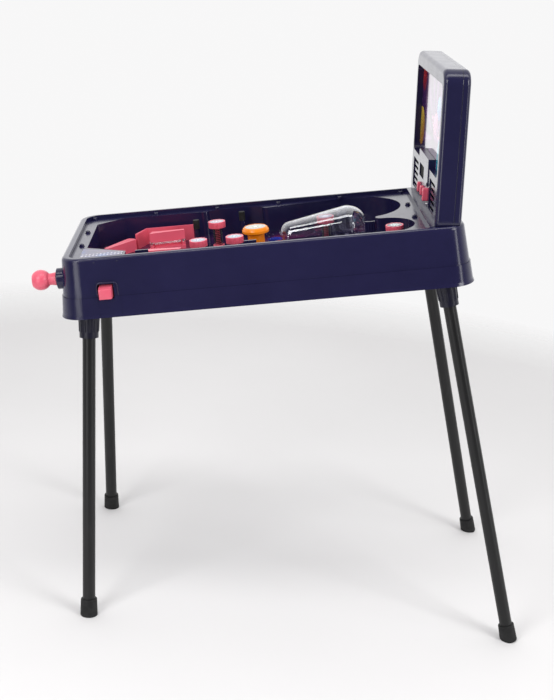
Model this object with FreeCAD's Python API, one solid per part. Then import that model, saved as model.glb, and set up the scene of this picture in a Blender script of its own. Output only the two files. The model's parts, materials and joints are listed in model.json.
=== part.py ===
"""A children's standing pinball table, built as an assembly of separate pieces.

World frame: millimetres, +Z up, +X to the player's right, the player stands at -Y.
The origin is on the floor, under the middle of the whole table.

The body is a box that slopes up towards the back. Its pieces are drawn in a level
"table frame" (x, s, h): s runs back along the slope from the front edge of the rim,
and h rises square to the rim, with the rim at h = 0. on_table() lifts them into place.
The score cabinet is drawn in its own upright frame (x, t, u), which on_box() places.
"""
import FreeCAD, Part
import math
import os

Vec = FreeCAD.Vector

# ---- where the table stands ---------------------------------------------------------
SLOPE = 9.7                      # degrees, the body rises to the back
FOOT_X = 192.4                   # half the distance between left and right feet
FOOT_SPAN_Y = 681.0              # from front feet to rear feet
FRONT_FOOT_Y = -289.63          # front feet, measured from the middle of the table
RIM_FRONT_Y = FRONT_FOOT_Y - 64.8
RIM_FRONT_Z = 568.0

# ---- body ---------------------------------------------------------------------------
RIM_W = 289.0                    # outside width at the rim
RIM_L = 598.0                    # outside length at the rim
BODY_H = 91.4
SHOULDER_R = 5.2                 # rounding of the top edge
SHOULDER = (3.5, 6.0, 4.0)       # how far the sides, front and back stand out past the rim
FLARE = (5.0, 9.0, 10.0)         # and how much further out they are at the bottom
CORNER_R = 26.0
WALL = 3.0
SPLIT_H = -59.5                  # where the upper shell meets the base tray
STEP = 1.4                       # the base tray stands this proud of the shell
RIM_BEAD = 5.0                   # width of the raised rim
LEDGE_H = -6.0                   # top of the deck
DECK_T = 2.5
SHELF_W = 9.0                    # shelf inside the shell that carries the deck
SCREW_TALL = 4.0                 # deck screw heads stand this high

# ---- playfield ----------------------------------------------------------------------
FIELD_H = -48.0                  # playing surface
FIELD_T = 2.5
FIELD_X = 130.0
FIELD_S0, FIELD_S1 = 8.0, 540.0
WELL_T = 2.5                     # thickness of the well wall
CENTRE_X = -4.0                  # flippers and slingshots are laid out about this line

# ---- flippers and side buttons ------------------------------------------------------
FLIPPER_PIVOT = (59.0, 79.0)     # from the centre line, along the slope
FLIPPER_TIP = (17.1, 45.8)
FLIPPER_END, FLIPPER_TIP_R = (7.0, 8.5), 4.5   # square end: behind the shaft, half width
FLIPPER_TALL = 19.0
SHAFT_R = 4.0
RUN_GAP = 0.06                   # radial clearance of a turning or sliding shaft
CRANK_R = 8.0                    # distance of the crank peg from the flipper shaft
CRANK_REST = 25.0                # degrees before the crank's middle position
PEG_R = 2.0
BUTTON_S = 57.5
BUTTON_W, BUTTON_TALL = 23.0, 21.0
BUTTON_H = -51.5                 # middle of the button
BUTTON_FACE_X = 159.0
SEAM_S = (45.0, 79.0)            # seams in the tray either side of a button

# ---- plunger and ball ---------------------------------------------------------------
PLUNGER_X, PLUNGER_H = 112.9, -35.5
ROD_R = 4.0
ROD_BACK_S = 58.0
KNOB_R = 15.6
KNOB_TIP_S = -55.5
COLLAR_R = 16.0
BALL_R = 7.5
LANE_X = (102.75, 123.0)
LANE_FLOOR, LANE_WALL = 1.5, 2.5
LANE_FRONT_S, LANE_BACK_S = 14.0, 430.0
LANE_TOP_H, LANE_TAB_H = -26.0, -5.0
LANE_TABS = ((103.0, 123.0), (269.0, 288.0))    # raised stretches of the lane's long wall

# ---- score cabinet ------------------------------------------------------------------
BOX_S = 555.0                    # front of the score cabinet at the rim
BOX_LEAN = 6.0                   # degrees back from square to the rim
BOX_W, BOX_TALL, BOX_D = 286.0, 230.0, 40.0
BOX_FRONT_D = 28.0               # depth of the front shell
BOX_CORNER, BOX_EDGE = 22.0, 7.0
BOX_WALL = 2.6
BOX_SCREWS = [(x, u) for x in (-105.0, 105.0) for u in (25.0, 115.0, 205.0)]
PLINTH_S, PLINTH_H = 548.0, 0.6  # raised back part of the deck that carries the cabinet
PICTURE = (-130.0, 130.0, 70.0, 208.0)
PICTURE_DEEP = 10.5
VENT_X, VENT_LONG, VENT_COUNT = 91.0, 54.0, 5
VENT_U, VENT_PITCH, VENT_DEEP = 16.2, 9.4, 1.6
PANEL = (-50.0, 50.0, 41.0, 84.0)
PANEL_PROUD = 1.5
DISPLAY = (-38.0, 8.0, 44.0, 64.0)
# name: (x, height of its middle, how tall, how far it stands out)
KEYS = {"left": (-34.0, 24.5, 16.0, 4.7), "middle": (1.0, 26.0, 15.4, 5.0), "right": (47.0, 29.4, 20.8, 7.8)}
KEY_W = 9.0

# ---- legs ---------------------------------------------------------------------------
LEG_R, LEG_WALL = 10.0, 1.5
LEG_TOP_X, LEG_TOP_S = 123.4, (24.0, 570.0)
SOCKET_LONG = 37.0
FERRULE_LONG = 27.0

# ---- batteries ----------------------------------------------------------------------
HATCH_X, HATCH_S = (-42.0, 42.0), (250.0, 350.0)

SIDES = {"left": -1, "right": 1}
NODES = {}


def keep(name, shape):
    """Store one finished piece, or one group of alike fasteners, under its name."""
    if len(shape.Solids) == 1:
        shape = shape.Solids[0]
    NODES[name] = shape


def on_table(shape):
    """Move a shape from the table frame into the world."""
    shape = shape.copy()
    shape.rotate(Vec(0, 0, 0), Vec(1, 0, 0), SLOPE)
    shape.translate(Vec(0, RIM_FRONT_Y, RIM_FRONT_Z))
    return shape


def on_box(shape):
    """Move a shape from the score cabinet's frame into the world."""
    shape = shape.copy()
    shape.rotate(Vec(0, 0, 0), Vec(1, 0, 0), -BOX_LEAN)
    shape.translate(Vec(0, BOX_S, 0))
    return on_table(shape)


def block(x0, x1, y0, y1, z0, z1):
    """A box between two corners."""
    return Part.makeBox(x1 - x0, y1 - y0, z1 - z0, Vec(x0, y0, z0))


def rod(r, start, end):
    """A round bar between two points."""
    start, end = Vec(*start), Vec(*end)
    return Part.makeCylinder(r, (end - start).Length, start, end - start)


def tube(r_out, r_in, start, end):
    """A round tube between two points."""
    return rod(r_out, start, end).cut(rod(r_in, start, end))


def round_rect(x0, x1, y0, y1, r, z):
    """A closed outline with four rounded corners, level at height z."""
    k = r * (1 - math.sqrt(0.5))
    line, arc = Part.LineSegment, Part.Arc
    parts = [
        line(Vec(x0 + r, y0, z), Vec(x1 - r, y0, z)),
        arc(Vec(x1 - r, y0, z), Vec(x1 - k, y0 + k, z), Vec(x1, y0 + r, z)),
        line(Vec(x1, y0 + r, z), Vec(x1, y1 - r, z)),
        arc(Vec(x1, y1 - r, z), Vec(x1 - k, y1 - k, z), Vec(x1 - r, y1, z)),
        line(Vec(x1 - r, y1, z), Vec(x0 + r, y1, z)),
        arc(Vec(x0 + r, y1, z), Vec(x0 + k, y1 - k, z), Vec(x0, y1 - r, z)),
        line(Vec(x0, y1 - r, z), Vec(x0, y0 + r, z)),
        arc(Vec(x0, y0 + r, z), Vec(x0 + k, y0 + k, z), Vec(x0 + r, y0, z)),
    ]
    return Part.Wire([part.toShape() for part in parts])


def slab(wire, height):
    """Extrude a closed outline upwards (or downwards for a negative height)."""
    return Part.Face(wire).extrude(Vec(0, 0, height))


def body_outline(h, inset=0.0, extra=0.0):
    """The body's outside outline at a height, drawn in by inset."""
    side, front, rear = (s - f * h / BODY_H + extra - inset for s, f in zip(SHOULDER, FLARE))
    half = RIM_W / 2 + side
    return round_rect(-half, half, -front, RIM_L + rear, CORNER_R + side, h)


def rim_outline(z, inset):
    """The rim's own outline, drawn in by inset."""
    half = RIM_W / 2 - inset
    return round_rect(-half, half, inset, RIM_L - inset, CORNER_R - inset, z)


def body_slice(h_top, h_low, inset=0.0, extra=0.0, grow=0.0):
    """The flared body between two heights."""
    low = body_outline(h_low, inset, extra + grow)
    return Part.makeLoft([body_outline(h_top, inset, extra), low], True, True)


def polygon(points, z):
    """A closed outline of straight edges."""
    corners = [Vec(x, y, z) for x, y in points]
    return Part.makePolygon(corners + corners[:1])


def strip(points, width, z0, z1):
    """An upright wall of one thickness that follows a bent centre line."""
    wall = None
    for (xa, ya), (xb, yb) in zip(points, points[1:]):
        long = math.hypot(xb - xa, yb - ya)
        nx, ny = (ya - yb) / long * width / 2, (xb - xa) / long * width / 2
        corners = [(xa + nx, ya + ny), (xb + nx, yb + ny), (xb - nx, yb - ny), (xa - nx, ya - ny)]
        piece = slab(polygon(corners, z0), z1 - z0)
        wall = piece if wall is None else wall.fuse(piece)
    for x, y in points[1:-1]:
        wall = wall.fuse(rod(width / 2, (x, y, z0), (x, y, z1)))
    return wall.removeSplitter()


def taper_outline(pivot, tip, r_pivot, r_tip, z):
    """The outline of a bar with two round ends of different size."""
    across = math.atan2(tip[1] - pivot[1], tip[0] - pivot[0])
    lean = math.acos((r_pivot - r_tip) / math.hypot(tip[0] - pivot[0], tip[1] - pivot[1]))

    def at(centre, r, angle):
        return Vec(centre[0] + r * math.cos(angle), centre[1] + r * math.sin(angle), z)

    a, b = across + lean, across - lean
    edges = [
        Part.LineSegment(at(pivot, r_pivot, b), at(tip, r_tip, b)),
        Part.Arc(at(tip, r_tip, b), at(tip, r_tip, across), at(tip, r_tip, a)),
        Part.LineSegment(at(tip, r_tip, a), at(pivot, r_pivot, a)),
        Part.Arc(at(pivot, r_pivot, a), at(pivot, r_pivot, across + math.pi), at(pivot, r_pivot, b)),
    ]
    return Part.Wire([edge.toShape() for edge in edges])


def button_hole(side, gap):
    """The space that a side button slides in, with a gap all round."""
    s0, s1 = BUTTON_S - BUTTON_W / 2 - gap, BUTTON_S + BUTTON_W / 2 + gap
    h0, h1 = BUTTON_H - BUTTON_TALL / 2 - gap, BUTTON_H + BUTTON_TALL / 2 + gap
    x0, x1 = sorted((side * 132.0, side * 170.0))
    return block(x0, x1, s0, s1, h0, h1)


# ---- body ---------------------------------------------------------------------------
def make_cabinet_shell():
    """The upper half of the body: four walls, the raised rim and the deck's shelf."""
    outer = body_slice(0, SPLIT_H)
    rim = [e for e in outer.Edges if abs(e.BoundBox.ZMin) < 0.01 and abs(e.BoundBox.ZMax) < 0.01]
    outer = outer.makeFillet(SHOULDER_R, rim)
    shell = outer.cut(body_slice(0, SPLIT_H, inset=WALL))
    bead = slab(body_outline(0, inset=WALL - 0.5), LEDGE_H - DECK_T)
    bead = bead.cut(slab(rim_outline(0, RIM_BEAD), LEDGE_H - DECK_T))
    shelf_top = LEDGE_H - DECK_T
    shelf = slab(body_outline(0, inset=WALL - 0.5), -2.5)
    shelf = shelf.cut(slab(rim_outline(0, SHELF_W), -2.5))
    shelf.translate(Vec(0, 0, shelf_top))
    shell = shell.fuse([bead.common(outer), shelf.common(outer)])
    for side in SIDES.values():
        shell = shell.cut(button_hole(side, 0.5))
    shell = shell.cut(rod(8.2, (PLUNGER_X, -30, PLUNGER_H), (PLUNGER_X, 6, PLUNGER_H)))
    keep("cabinet_shell", on_table(shell.removeSplitter()))


def base_outer():
    """The base tray's outside, with its lip at the bottom."""
    lip_h = -BODY_H + 5
    upper = body_slice(SPLIT_H, lip_h, extra=STEP)
    lower = body_slice(lip_h, -BODY_H, extra=STEP, grow=1.2)
    return upper.fuse(lower).removeSplitter()


def battery_hatch(gap):
    """The place of the battery door in the floor of the tray."""
    return block(HATCH_X[0] + gap, HATCH_X[1] - gap, HATCH_S[0] + gap, HATCH_S[1] - gap,
                 -BODY_H, -BODY_H + WALL)


def seam_groove(side, s):
    """A fine upright seam in the tray's side, under the button."""
    groove = block(-0.5, 0.5, -0.35, 0.35, -BODY_H + 3.0, SPLIT_H)
    lean = math.degrees(math.atan2(FLARE[0], BODY_H))
    groove.rotate(Vec(0, 0, SPLIT_H), Vec(0, 1, 0), -side * lean)
    x = RIM_W / 2 + SHOULDER[0] - FLARE[0] * SPLIT_H / BODY_H + STEP
    groove.translate(Vec(side * x, s, 0))
    return groove


def make_base_tray():
    """The lower half of the body: a tray with a step, a lip and a battery hatch."""
    tray = base_outer().cut(body_slice(SPLIT_H, -BODY_H + WALL, inset=WALL, extra=STEP))
    tray = tray.cut(battery_hatch(0.0))
    for side in SIDES.values():
        for s in SEAM_S:
            tray = tray.cut(seam_groove(side, s))
    for side in SIDES.values():
        tray = tray.cut(button_hole(side, 0.5))
    keep("base_tray", on_table(tray))


def well_outline(z):
    """The opening in the deck: a straight front, a bay at the left and two arches."""
    def p(x, s):
        return Vec(x, s, z)

    def line(a, b):
        return Part.LineSegment(a, b)

    edges = [
        line(p(-96, 25), p(57, 25)),
        line(p(57, 25), p(95, 88)),
        line(p(95, 88), p(123, 88)),
        line(p(123, 88), p(123, 487)),
        Part.Arc(p(123, 487), p(77, 533), p(31, 487)),
        Part.Arc(p(31, 487), p(22, 478), p(13, 487)),
        Part.Arc(p(13, 487), p(-55.4, 526.7), p(-131, 430)),
        line(p(-131, 430), p(-113, 312)),
        Part.Arc(p(-113, 312), p(-115.2, 303.2), p(-124, 301)),
        Part.Arc(p(-124, 301), p(-131.5, 256), p(-124, 211)),
        Part.Arc(p(-124, 211), p(-119.5, 205.5), p(-121, 198)),
        line(p(-121, 198), p(-126, 68)),
        line(p(-126, 68), p(-96, 25)),
    ]
    return Part.Wire([edge.toShape() for edge in edges])


def make_deck():
    """The deck: a flat ledge, the walls of the well below it and a plinth at the back."""
    deck = slab(rim_outline(LEDGE_H, RIM_BEAD + 0.3), -DECK_T)
    well = well_outline(FIELD_H)
    skirt_wire = well.makeOffset2D(WELL_T)
    skirt = slab(skirt_wire, LEDGE_H - FIELD_H)
    plinth = block(-138.5, 138.5, PLINTH_S, RIM_L - RIM_BEAD - 1, LEDGE_H, PLINTH_H)
    plinth = plinth.common(slab(rim_outline(-10, RIM_BEAD + 0.3), 20))
    deck = deck.fuse([skirt, plinth])
    deck = deck.cut(block(-134, 134, PLINTH_S + 3, RIM_L - SHELF_W, LEDGE_H - DECK_T - 1, PLINTH_H - DECK_T))
    deck = deck.cut(slab(well, LEDGE_H - FIELD_H + 1))
    # the shooting lane passes under the corner of the deck
    lane_door = block(LANE_X[0] - LANE_WALL - 0.3, LANE_X[1], 84.5, 90, FIELD_H, LEDGE_H - DECK_T - 2)
    deck = deck.cut(lane_door)
    keep("deck", on_table(deck.removeSplitter()))


def make_playfield():
    """The flat board that the ball rolls on, with holes for the flipper shafts."""
    board = slab(round_rect(-FIELD_X, FIELD_X, FIELD_S0, FIELD_S1, 12, FIELD_H), -FIELD_T)
    for side in SIDES.values():
        x, s = CENTRE_X + side * FLIPPER_PIVOT[0], FLIPPER_PIVOT[1]
        board = board.cut(rod(SHAFT_R + RUN_GAP, (x, s, FIELD_H - 5), (x, s, FIELD_H + 1)))
    keep("playfield", on_table(board))


def make_apron_label():
    """The foil sticker on the front right corner of the deck."""
    label = slab(polygon([(64, 20), (116, 20), (116, 84), (96, 84)], LEDGE_H), 0.4)
    keep("apron_label", on_table(label))


def make_deck_screws():
    """Cross-head screws round the deck, which hold it to the body."""
    places = [(side * 133.0, 17.0 + 104.0 * i) for side in SIDES.values() for i in range(6)]
    places += [(x, s) for x in (-43.0, 43.0) for s in (15.0, 537.5)]
    heads = []
    for x, s in places:
        head = rod(3.6, (x, s, LEDGE_H), (x, s, LEDGE_H + SCREW_TALL))
        top = [e for e in head.Edges if abs(e.BoundBox.ZMin - LEDGE_H - SCREW_TALL) < 0.01]
        head = head.makeFillet(1.0, top)
        for wide, deep in ((2.4, 0.5), (0.5, 2.4)):
            head = head.cut(block(x - wide, x + wide, s - deep, s + deep, LEDGE_H + SCREW_TALL - 1.2, LEDGE_H + 6))
        heads.append(head)
    keep("deck_screws", on_table(Part.makeCompound(heads)))


def make_battery_parts():
    """The battery box inside the tray and the door that closes it from below."""
    (x0, x1), (s0, s1), floor = HATCH_X, HATCH_S, -BODY_H + WALL
    box = block(x0 - 3, x1 + 3, s0 - 4, s1 + 4, floor, floor + 22)
    box = box.cut(block(x0, x1, s0, s1, floor, floor + 20))
    keep("battery_box", on_table(box))
    door = battery_hatch(0.4)
    door = door.cut(rod(3.0, (0, 256, -BODY_H), (0, 256, -BODY_H + 1.2)))
    for i in range(5):
        groove = block(-20, 20, 325 + 4 * i, 326.5 + 4 * i, -BODY_H, -BODY_H + 0.8)
        door = door.cut(groove)
    keep("battery_door", on_table(door))


# ---- things on the playfield --------------------------------------------------------
def make_lane_guides():
    """Pink guide walls that lead the ball to each flipper."""
    for name, side in SIDES.items():
        route = [(67, 89.5), (101, 105), (101, 183)]
        points = [(CENTRE_X + side * x, s) for x, s in route]
        keep(name + "_lane_guide", on_table(strip(points, 3.5, FIELD_H, -22.0)))


def make_slingshots():
    """Pink kickers: an upright block behind a low shelf with two screw posts."""
    screws, springs = [], []
    for name, side in SIDES.items():
        def x(value, side=side):
            return CENTRE_X + side * value

        outline = [(x(49), 113), (x(62), 117), (x(64), 169), (x(57), 170)]
        shape = slab(polygon(outline, FIELD_H), 29.0)
        shelf = slab(polygon([(x(40), 112), (x(49.5), 113), (x(57.5), 170), (x(48), 171)], FIELD_H), 6.0)
        shape = shape.fuse(shelf)
        ends = [(x(44.5), 115.5), (x(51.5), 167.5)]
        for px, ps in ends:
            shape = shape.fuse(rod(3.0, (px, ps, FIELD_H), (px, ps, FIELD_H + 11)))
            screws.append(rod(3.4, (px, ps, FIELD_H + 13.6), (px, ps, FIELD_H + 15.2)).fuse(
                rod(1.4, (px, ps, FIELD_H + 11), (px, ps, FIELD_H + 13.6))))
        keep(name + "_slingshot", on_table(shape.removeSplitter()))
        (xa, sa), (xb, sb) = ends
        long = math.hypot(xb - xa, sb - sa)
        ux, us = (xb - xa) / long, (sb - sa) / long
        near, far, mid = 4.0, long - 4.0, FIELD_H + 12.3
        springs.append(tube(2.0, 1.3, (xa + ux * near, sa + us * near, mid),
                            (xa + ux * far, sa + us * far, mid)))
    keep("slingshot_screws", on_table(Part.makeCompound(screws)))
    keep("slingshot_springs", on_table(Part.makeCompound(springs)))


BUMPERS = {"front_right": (63.0, 198.0), "left": (-50.0, 225.0), "mid_right": (59.0, 254.5),
           "dome": (-20.0, 401.0), "back_right": (76.5, 502.0)}
BUMPER_TALL = 41.0


def make_bumpers():
    """Pink mushroom bumpers, each on a stem inside a loose black spring."""
    springs = []
    for name, (x, s) in BUMPERS.items():
        top = FIELD_H + BUMPER_TALL
        cap = rod(14.0, (x, s, top - 10), (x, s, top))
        rims = [e for e in cap.Edges if abs(e.BoundBox.ZMax - e.BoundBox.ZMin) < 0.01]
        cap = cap.makeFillet(1.8, rims)
        cap = cap.cut(rod(11.5, (x, s, top - 0.6), (x, s, top + 1)))
        stem = rod(4.0, (x, s, FIELD_H), (x, s, top - 5)).fuse(rod(10.0, (x, s, FIELD_H), (x, s, FIELD_H + 2)))
        keep("bumper_" + name, on_table(cap.fuse(stem).removeSplitter()))
        springs.append(tube(7.6, 6.2, (x, s, FIELD_H + 2.2), (x, s, top - 10.3)))
    keep("bumper_springs", on_table(Part.makeCompound(springs)))


def make_orange_bumper():
    """The big orange mushroom in the middle of the field."""
    x, s, top = 0.0, 287.5, FIELD_H + 39.0
    profile = [(0, FIELD_H), (13.5, FIELD_H), (13.5, top - 12), (16.0, top - 10.5), (21.5, top - 8.5),
               (21.5, top - 5), (19.5, top - 1.5), (17.5, top), (16.8, top), (16.8, top - 0.7), (0, top - 0.7)]
    face = Part.Face(Part.makePolygon([Vec(x + r, s, h) for r, h in profile + profile[:1]]))
    keep("orange_bumper", on_table(face.revolve(Vec(x, s, 0), Vec(0, 0, 1), 360)))


DOME_FRONT, DOME_BACK = (-20.0, 347.0), (-20.0, 431.0)
DOME_FRONT_R, DOME_BACK_R = 24.0, 38.0


def dome_solid(inset):
    """The dome's bulk: a low round front and a tall round back joined smoothly."""
    sections = []
    levels = ((0.0, 0.0), (0.4, 1.0), (0.68, 4.0), (0.88, 9.5), (0.98, 17.0))
    for share, draw_in in levels:
        z_front = FIELD_H + share * (36.0 - inset)
        z_back = FIELD_H + share * (53.0 - inset)
        wire = taper_outline(DOME_BACK, DOME_FRONT, DOME_BACK_R - draw_in - inset,
                             DOME_FRONT_R - draw_in - inset, 0.0)
        tilt = math.degrees(math.atan2(z_back - z_front, DOME_BACK[1] - DOME_FRONT[1]))
        wire.rotate(Vec(0, DOME_FRONT[1], 0), Vec(1, 0, 0), tilt)
        wire.translate(Vec(0, 0, z_front))
        sections.append(wire)
    return Part.makeLoft(sections, True, False)


def make_clear_dome():
    """The clear blister over the rear bumper, with a flange and a doorway at the front."""
    dome = dome_solid(0.0).cut(dome_solid(1.8))
    flange = slab(taper_outline(DOME_BACK, DOME_FRONT, DOME_BACK_R + 5, DOME_FRONT_R + 5, FIELD_H), 2.0)
    hole = slab(taper_outline(DOME_BACK, DOME_FRONT, DOME_BACK_R - 2.5, DOME_FRONT_R - 2.5, FIELD_H), 2.0)
    dome = dome.fuse(flange.cut(hole))
    door = block(DOME_FRONT[0] - 11, DOME_FRONT[0] + 11, 310, 340, FIELD_H, FIELD_H + 21)
    keep("clear_dome", on_table(dome.cut(door).removeSplitter()))


POSTS = {"front": (-76.0, 190.0), "back": (-108.0, 266.0)}
POST_TALL, SLEEVE_LONG = 40.0, 14.6


def make_posts():
    """Navy posts in the left bay, each with a black rubber sleeve at its top."""
    for name, (x, s) in POSTS.items():
        top = FIELD_H + POST_TALL
        post = rod(4.3, (x, s, FIELD_H), (x, s, top - SLEEVE_LONG))
        post = post.fuse(rod(3.0, (x, s, FIELD_H), (x, s, top - 2)))
        keep("post_" + name, on_table(post.removeSplitter()))
        sleeve = rod(5.2, (x, s, top - SLEEVE_LONG), (x, s, top)).cut(
            rod(3.0, (x, s, top - SLEEVE_LONG), (x, s, top - 2)))
        keep("post_sleeve_" + name, on_table(sleeve))


def make_arch_divider():
    """The ribbed wall that runs down from the point between the two arches."""
    points = [(21.0, 477.0), (22.0, 469.0), (20.0, 461.0)]
    wall = strip(points, 3.0, FIELD_H, -12.0)
    for (xa, sa), (xb, sb) in zip(points, points[1:]):
        for i in range(2):
            t = (i + 0.5) / 2
            x, s = xa + (xb - xa) * t, sa + (sb - sa) * t
            wall = wall.fuse(rod(2.4, (x, s, FIELD_H), (x, s, -14.0)))
    keep("arch_divider", on_table(wall.removeSplitter()))


def make_shooter_lane():
    """The channel that the ball is shot up: a long wall, a floor and a short wall."""
    x0, x1 = LANE_X
    right = x1 - 0.3
    lane = block(x0 - LANE_WALL, x0, LANE_FRONT_S, LANE_BACK_S, FIELD_H, LANE_TOP_H)
    lane = lane.fuse(block(x0, right, LANE_FRONT_S, LANE_BACK_S, FIELD_H, FIELD_H + LANE_FLOOR))
    for s0, s1 in LANE_TABS:
        lane = lane.fuse(block(x0 - LANE_WALL - 0.8, x0, s0, s1, FIELD_H, LANE_TAB_H))
    lane = lane.fuse(block(right, right + LANE_WALL, LANE_FRONT_S, 85.2, FIELD_H, LANE_TOP_H))
    keep("shooter_lane", on_table(lane.removeSplitter()))


def make_ball():
    """The steel ball, waiting against the plunger."""
    centre = Vec(PLUNGER_X, ROD_BACK_S + BALL_R + 0.4, FIELD_H + LANE_FLOOR + BALL_R + 0.3)
    keep("ball", on_table(Part.makeSphere(BALL_R, centre)))


# ---- moving controls ----------------------------------------------------------------
def flipper_bar(pivot, tip, low):
    """A flipper's bar: a square heel that tapers to a round tip."""
    reach = Vec(tip[0] - pivot[0], tip[1] - pivot[1], 0)
    long = reach.Length
    back, half = FLIPPER_END
    heel = Part.Face(polygon([(-back, -half), (0, -half), (0, half), (-back, half)], 0))
    heel = heel.extrude(Vec(0, 0, FLIPPER_TALL))
    corners = [e for e in heel.Edges if abs(e.BoundBox.XMax + back) < 0.01 and e.BoundBox.ZMax > e.BoundBox.ZMin + 1]
    heel = heel.makeFillet(2.5, corners)
    blade = slab(taper_outline((0.0, 0.0), (long, 0.0), half, FLIPPER_TIP_R, 0), FLIPPER_TALL)
    bar = heel.fuse(blade).removeSplitter()
    bar.rotate(Vec(0, 0, 0), Vec(0, 0, 1), math.degrees(math.atan2(reach.y, reach.x)))
    bar.translate(Vec(pivot[0], pivot[1], low))
    return bar


def make_flippers():
    """Pink flippers with their shafts, crank discs and drive pegs."""
    for name, side in SIDES.items():
        pivot = (CENTRE_X + side * FLIPPER_PIVOT[0], FLIPPER_PIVOT[1])
        tip = (CENTRE_X + side * FLIPPER_TIP[0], FLIPPER_TIP[1])
        low = FIELD_H + 0.5
        bar = flipper_bar(pivot, tip, low)
        shaft = rod(SHAFT_R, (*pivot, FIELD_H - 7), (*pivot, low + 1))
        disc = rod(11.0, (*pivot, FIELD_H - 7), (*pivot, FIELD_H - 4))
        angle = math.radians(-90 + side * CRANK_REST)
        peg_at = (pivot[0] + CRANK_R * math.cos(angle), pivot[1] + CRANK_R * math.sin(angle))
        peg = rod(PEG_R, (*peg_at, FIELD_H - 13), (*peg_at, FIELD_H - 6.5))
        keep(name + "_flipper", on_table(bar.fuse([shaft, disc, peg]).removeSplitter()))


def make_side_buttons():
    """Pink side buttons with the slotted slides that swing the flippers."""
    for name, side in SIDES.items():
        def span(a, b, side=side):
            return sorted((side * a, side * b))

        s0, s1 = BUTTON_S - BUTTON_W / 2, BUTTON_S + BUTTON_W / 2
        h0, h1 = BUTTON_H - BUTTON_TALL / 2, BUTTON_H + BUTTON_TALL / 2
        cap = block(*span(142.0, BUTTON_FACE_X), s0, s1, h0, h1)
        outer_x = side * BUTTON_FACE_X
        face = [e for e in cap.Edges if abs(e.BoundBox.XMin - outer_x) < 0.01
                and abs(e.BoundBox.XMax - outer_x) < 0.01]
        cap = cap.makeChamfer(3.0, face)
        peg_x = CENTRE_X + side * FLIPPER_PIVOT[0] + side * CRANK_R * math.sin(math.radians(CRANK_REST))
        peg_s = FLIPPER_PIVOT[1] - CRANK_R * math.cos(math.radians(CRANK_REST))
        end_x = side * peg_x - 9.0
        plate = block(*span(end_x, 136.0), peg_s - 8, peg_s + 6, FIELD_H - 12, FIELD_H - 9)
        stem = block(*span(126.0, 142.5), s0 + 3, peg_s + 6, FIELD_H - 12, FIELD_H - 9)
        slot = block(peg_x - PEG_R - 0.3, peg_x + PEG_R + 0.3, peg_s - 4, peg_s + 4, FIELD_H - 13, FIELD_H - 8)
        shape = cap.fuse([plate, stem]).cut(slot).removeSplitter()
        keep(name + "_button", on_table(shape))


def make_plunger():
    """The plunger: knob, rod with its flange, return spring and the collar it slides in."""
    def along(s):
        return (PLUNGER_X, s, PLUNGER_H)

    neck_r, neck_back = 9.0, -19.5
    ball_mid = KNOB_TIP_S + KNOB_R * 0.8
    bulb = Part.makeSphere(KNOB_R, Vec(*along(ball_mid)))
    bulb = bulb.cut(block(PLUNGER_X - 30, PLUNGER_X + 30, KNOB_TIP_S - 20, KNOB_TIP_S,
                          PLUNGER_H - 30, PLUNGER_H + 30))
    neck = rod(neck_r, along(ball_mid), along(neck_back))
    flare = Part.makeCone(neck_r, 10.2, 7.0, Vec(*along(neck_back - 7.0)), Vec(0, 1, 0))
    knob = bulb.fuse([neck, flare]).cut(rod(ROD_R, along(-36), along(0)))
    keep("plunger_knob", on_table(knob.removeSplitter()))

    pin = rod(ROD_R, along(-36), along(ROD_BACK_S - 4))
    pin = pin.fuse(rod(7.0, along(ROD_BACK_S - 8), along(ROD_BACK_S)))
    keep("plunger_rod", on_table(pin.removeSplitter()))

    collar = rod(COLLAR_R, along(-18), along(-5.2)).fuse(rod(8.0, along(-6), along(4)))
    front_edge = [e for e in collar.Edges if abs(e.BoundBox.YMin + 18) < 0.01
                  and abs(e.BoundBox.YMax + 18) < 0.01]
    collar = collar.makeFillet(1.5, front_edge)
    collar = collar.cut(rod(ROD_R + RUN_GAP, along(-20), along(6)))
    collar = collar.cut(body_slice(0, SPLIT_H).cut(rod(8.2, along(-30), along(6))))
    keep("plunger_collar", on_table(collar.removeSplitter()))
    keep("plunger_spring", on_table(tube(7.0, 5.0, along(4.5), along(ROD_BACK_S - 8.5))))


# ---- score cabinet ------------------------------------------------------------------
def box_solid(inset, t0, t1, edge_front, edge_back):
    """The score cabinet's bulk between two depths, with rounded corners and edges."""
    half = BOX_W / 2 - inset
    wire = round_rect(-half, half, -12 + inset, BOX_TALL - inset, BOX_CORNER - inset, 0)
    solid = slab(wire, t1 - t0)
    solid.rotate(Vec(0, 0, 0), Vec(1, 0, 0), 90)
    solid.translate(Vec(0, t1, 0))
    for radius, t in ((edge_front, t0), (edge_back, t1)):
        if radius:
            ring = [e for e in solid.Edges if abs(e.BoundBox.YMin - t) < 0.01
                    and abs(e.BoundBox.YMax - t) < 0.01]
            solid = solid.makeFillet(radius, ring)
    return solid


def below_plinth():
    """Everything under the plinth's top, in the score cabinet's frame."""
    cut = block(-200, 200, -200, 200, -200, PLINTH_H)
    cut.rotate(Vec(0, 0, 0), Vec(1, 0, 0), BOX_LEAN)
    return cut


def rect_prism(x0, x1, u0, u1, t0, t1, r=0.0):
    """A block across the cabinet's depth, with rounded corners seen from the front."""
    if not r:
        return block(x0, x1, t0, t1, u0, u1)
    solid = slab(round_rect(x0, x1, u0, u1, r, 0), t1 - t0)
    solid.rotate(Vec(0, 0, 0), Vec(1, 0, 0), 90)
    solid.translate(Vec(0, t1, 0))
    return solid


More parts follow.
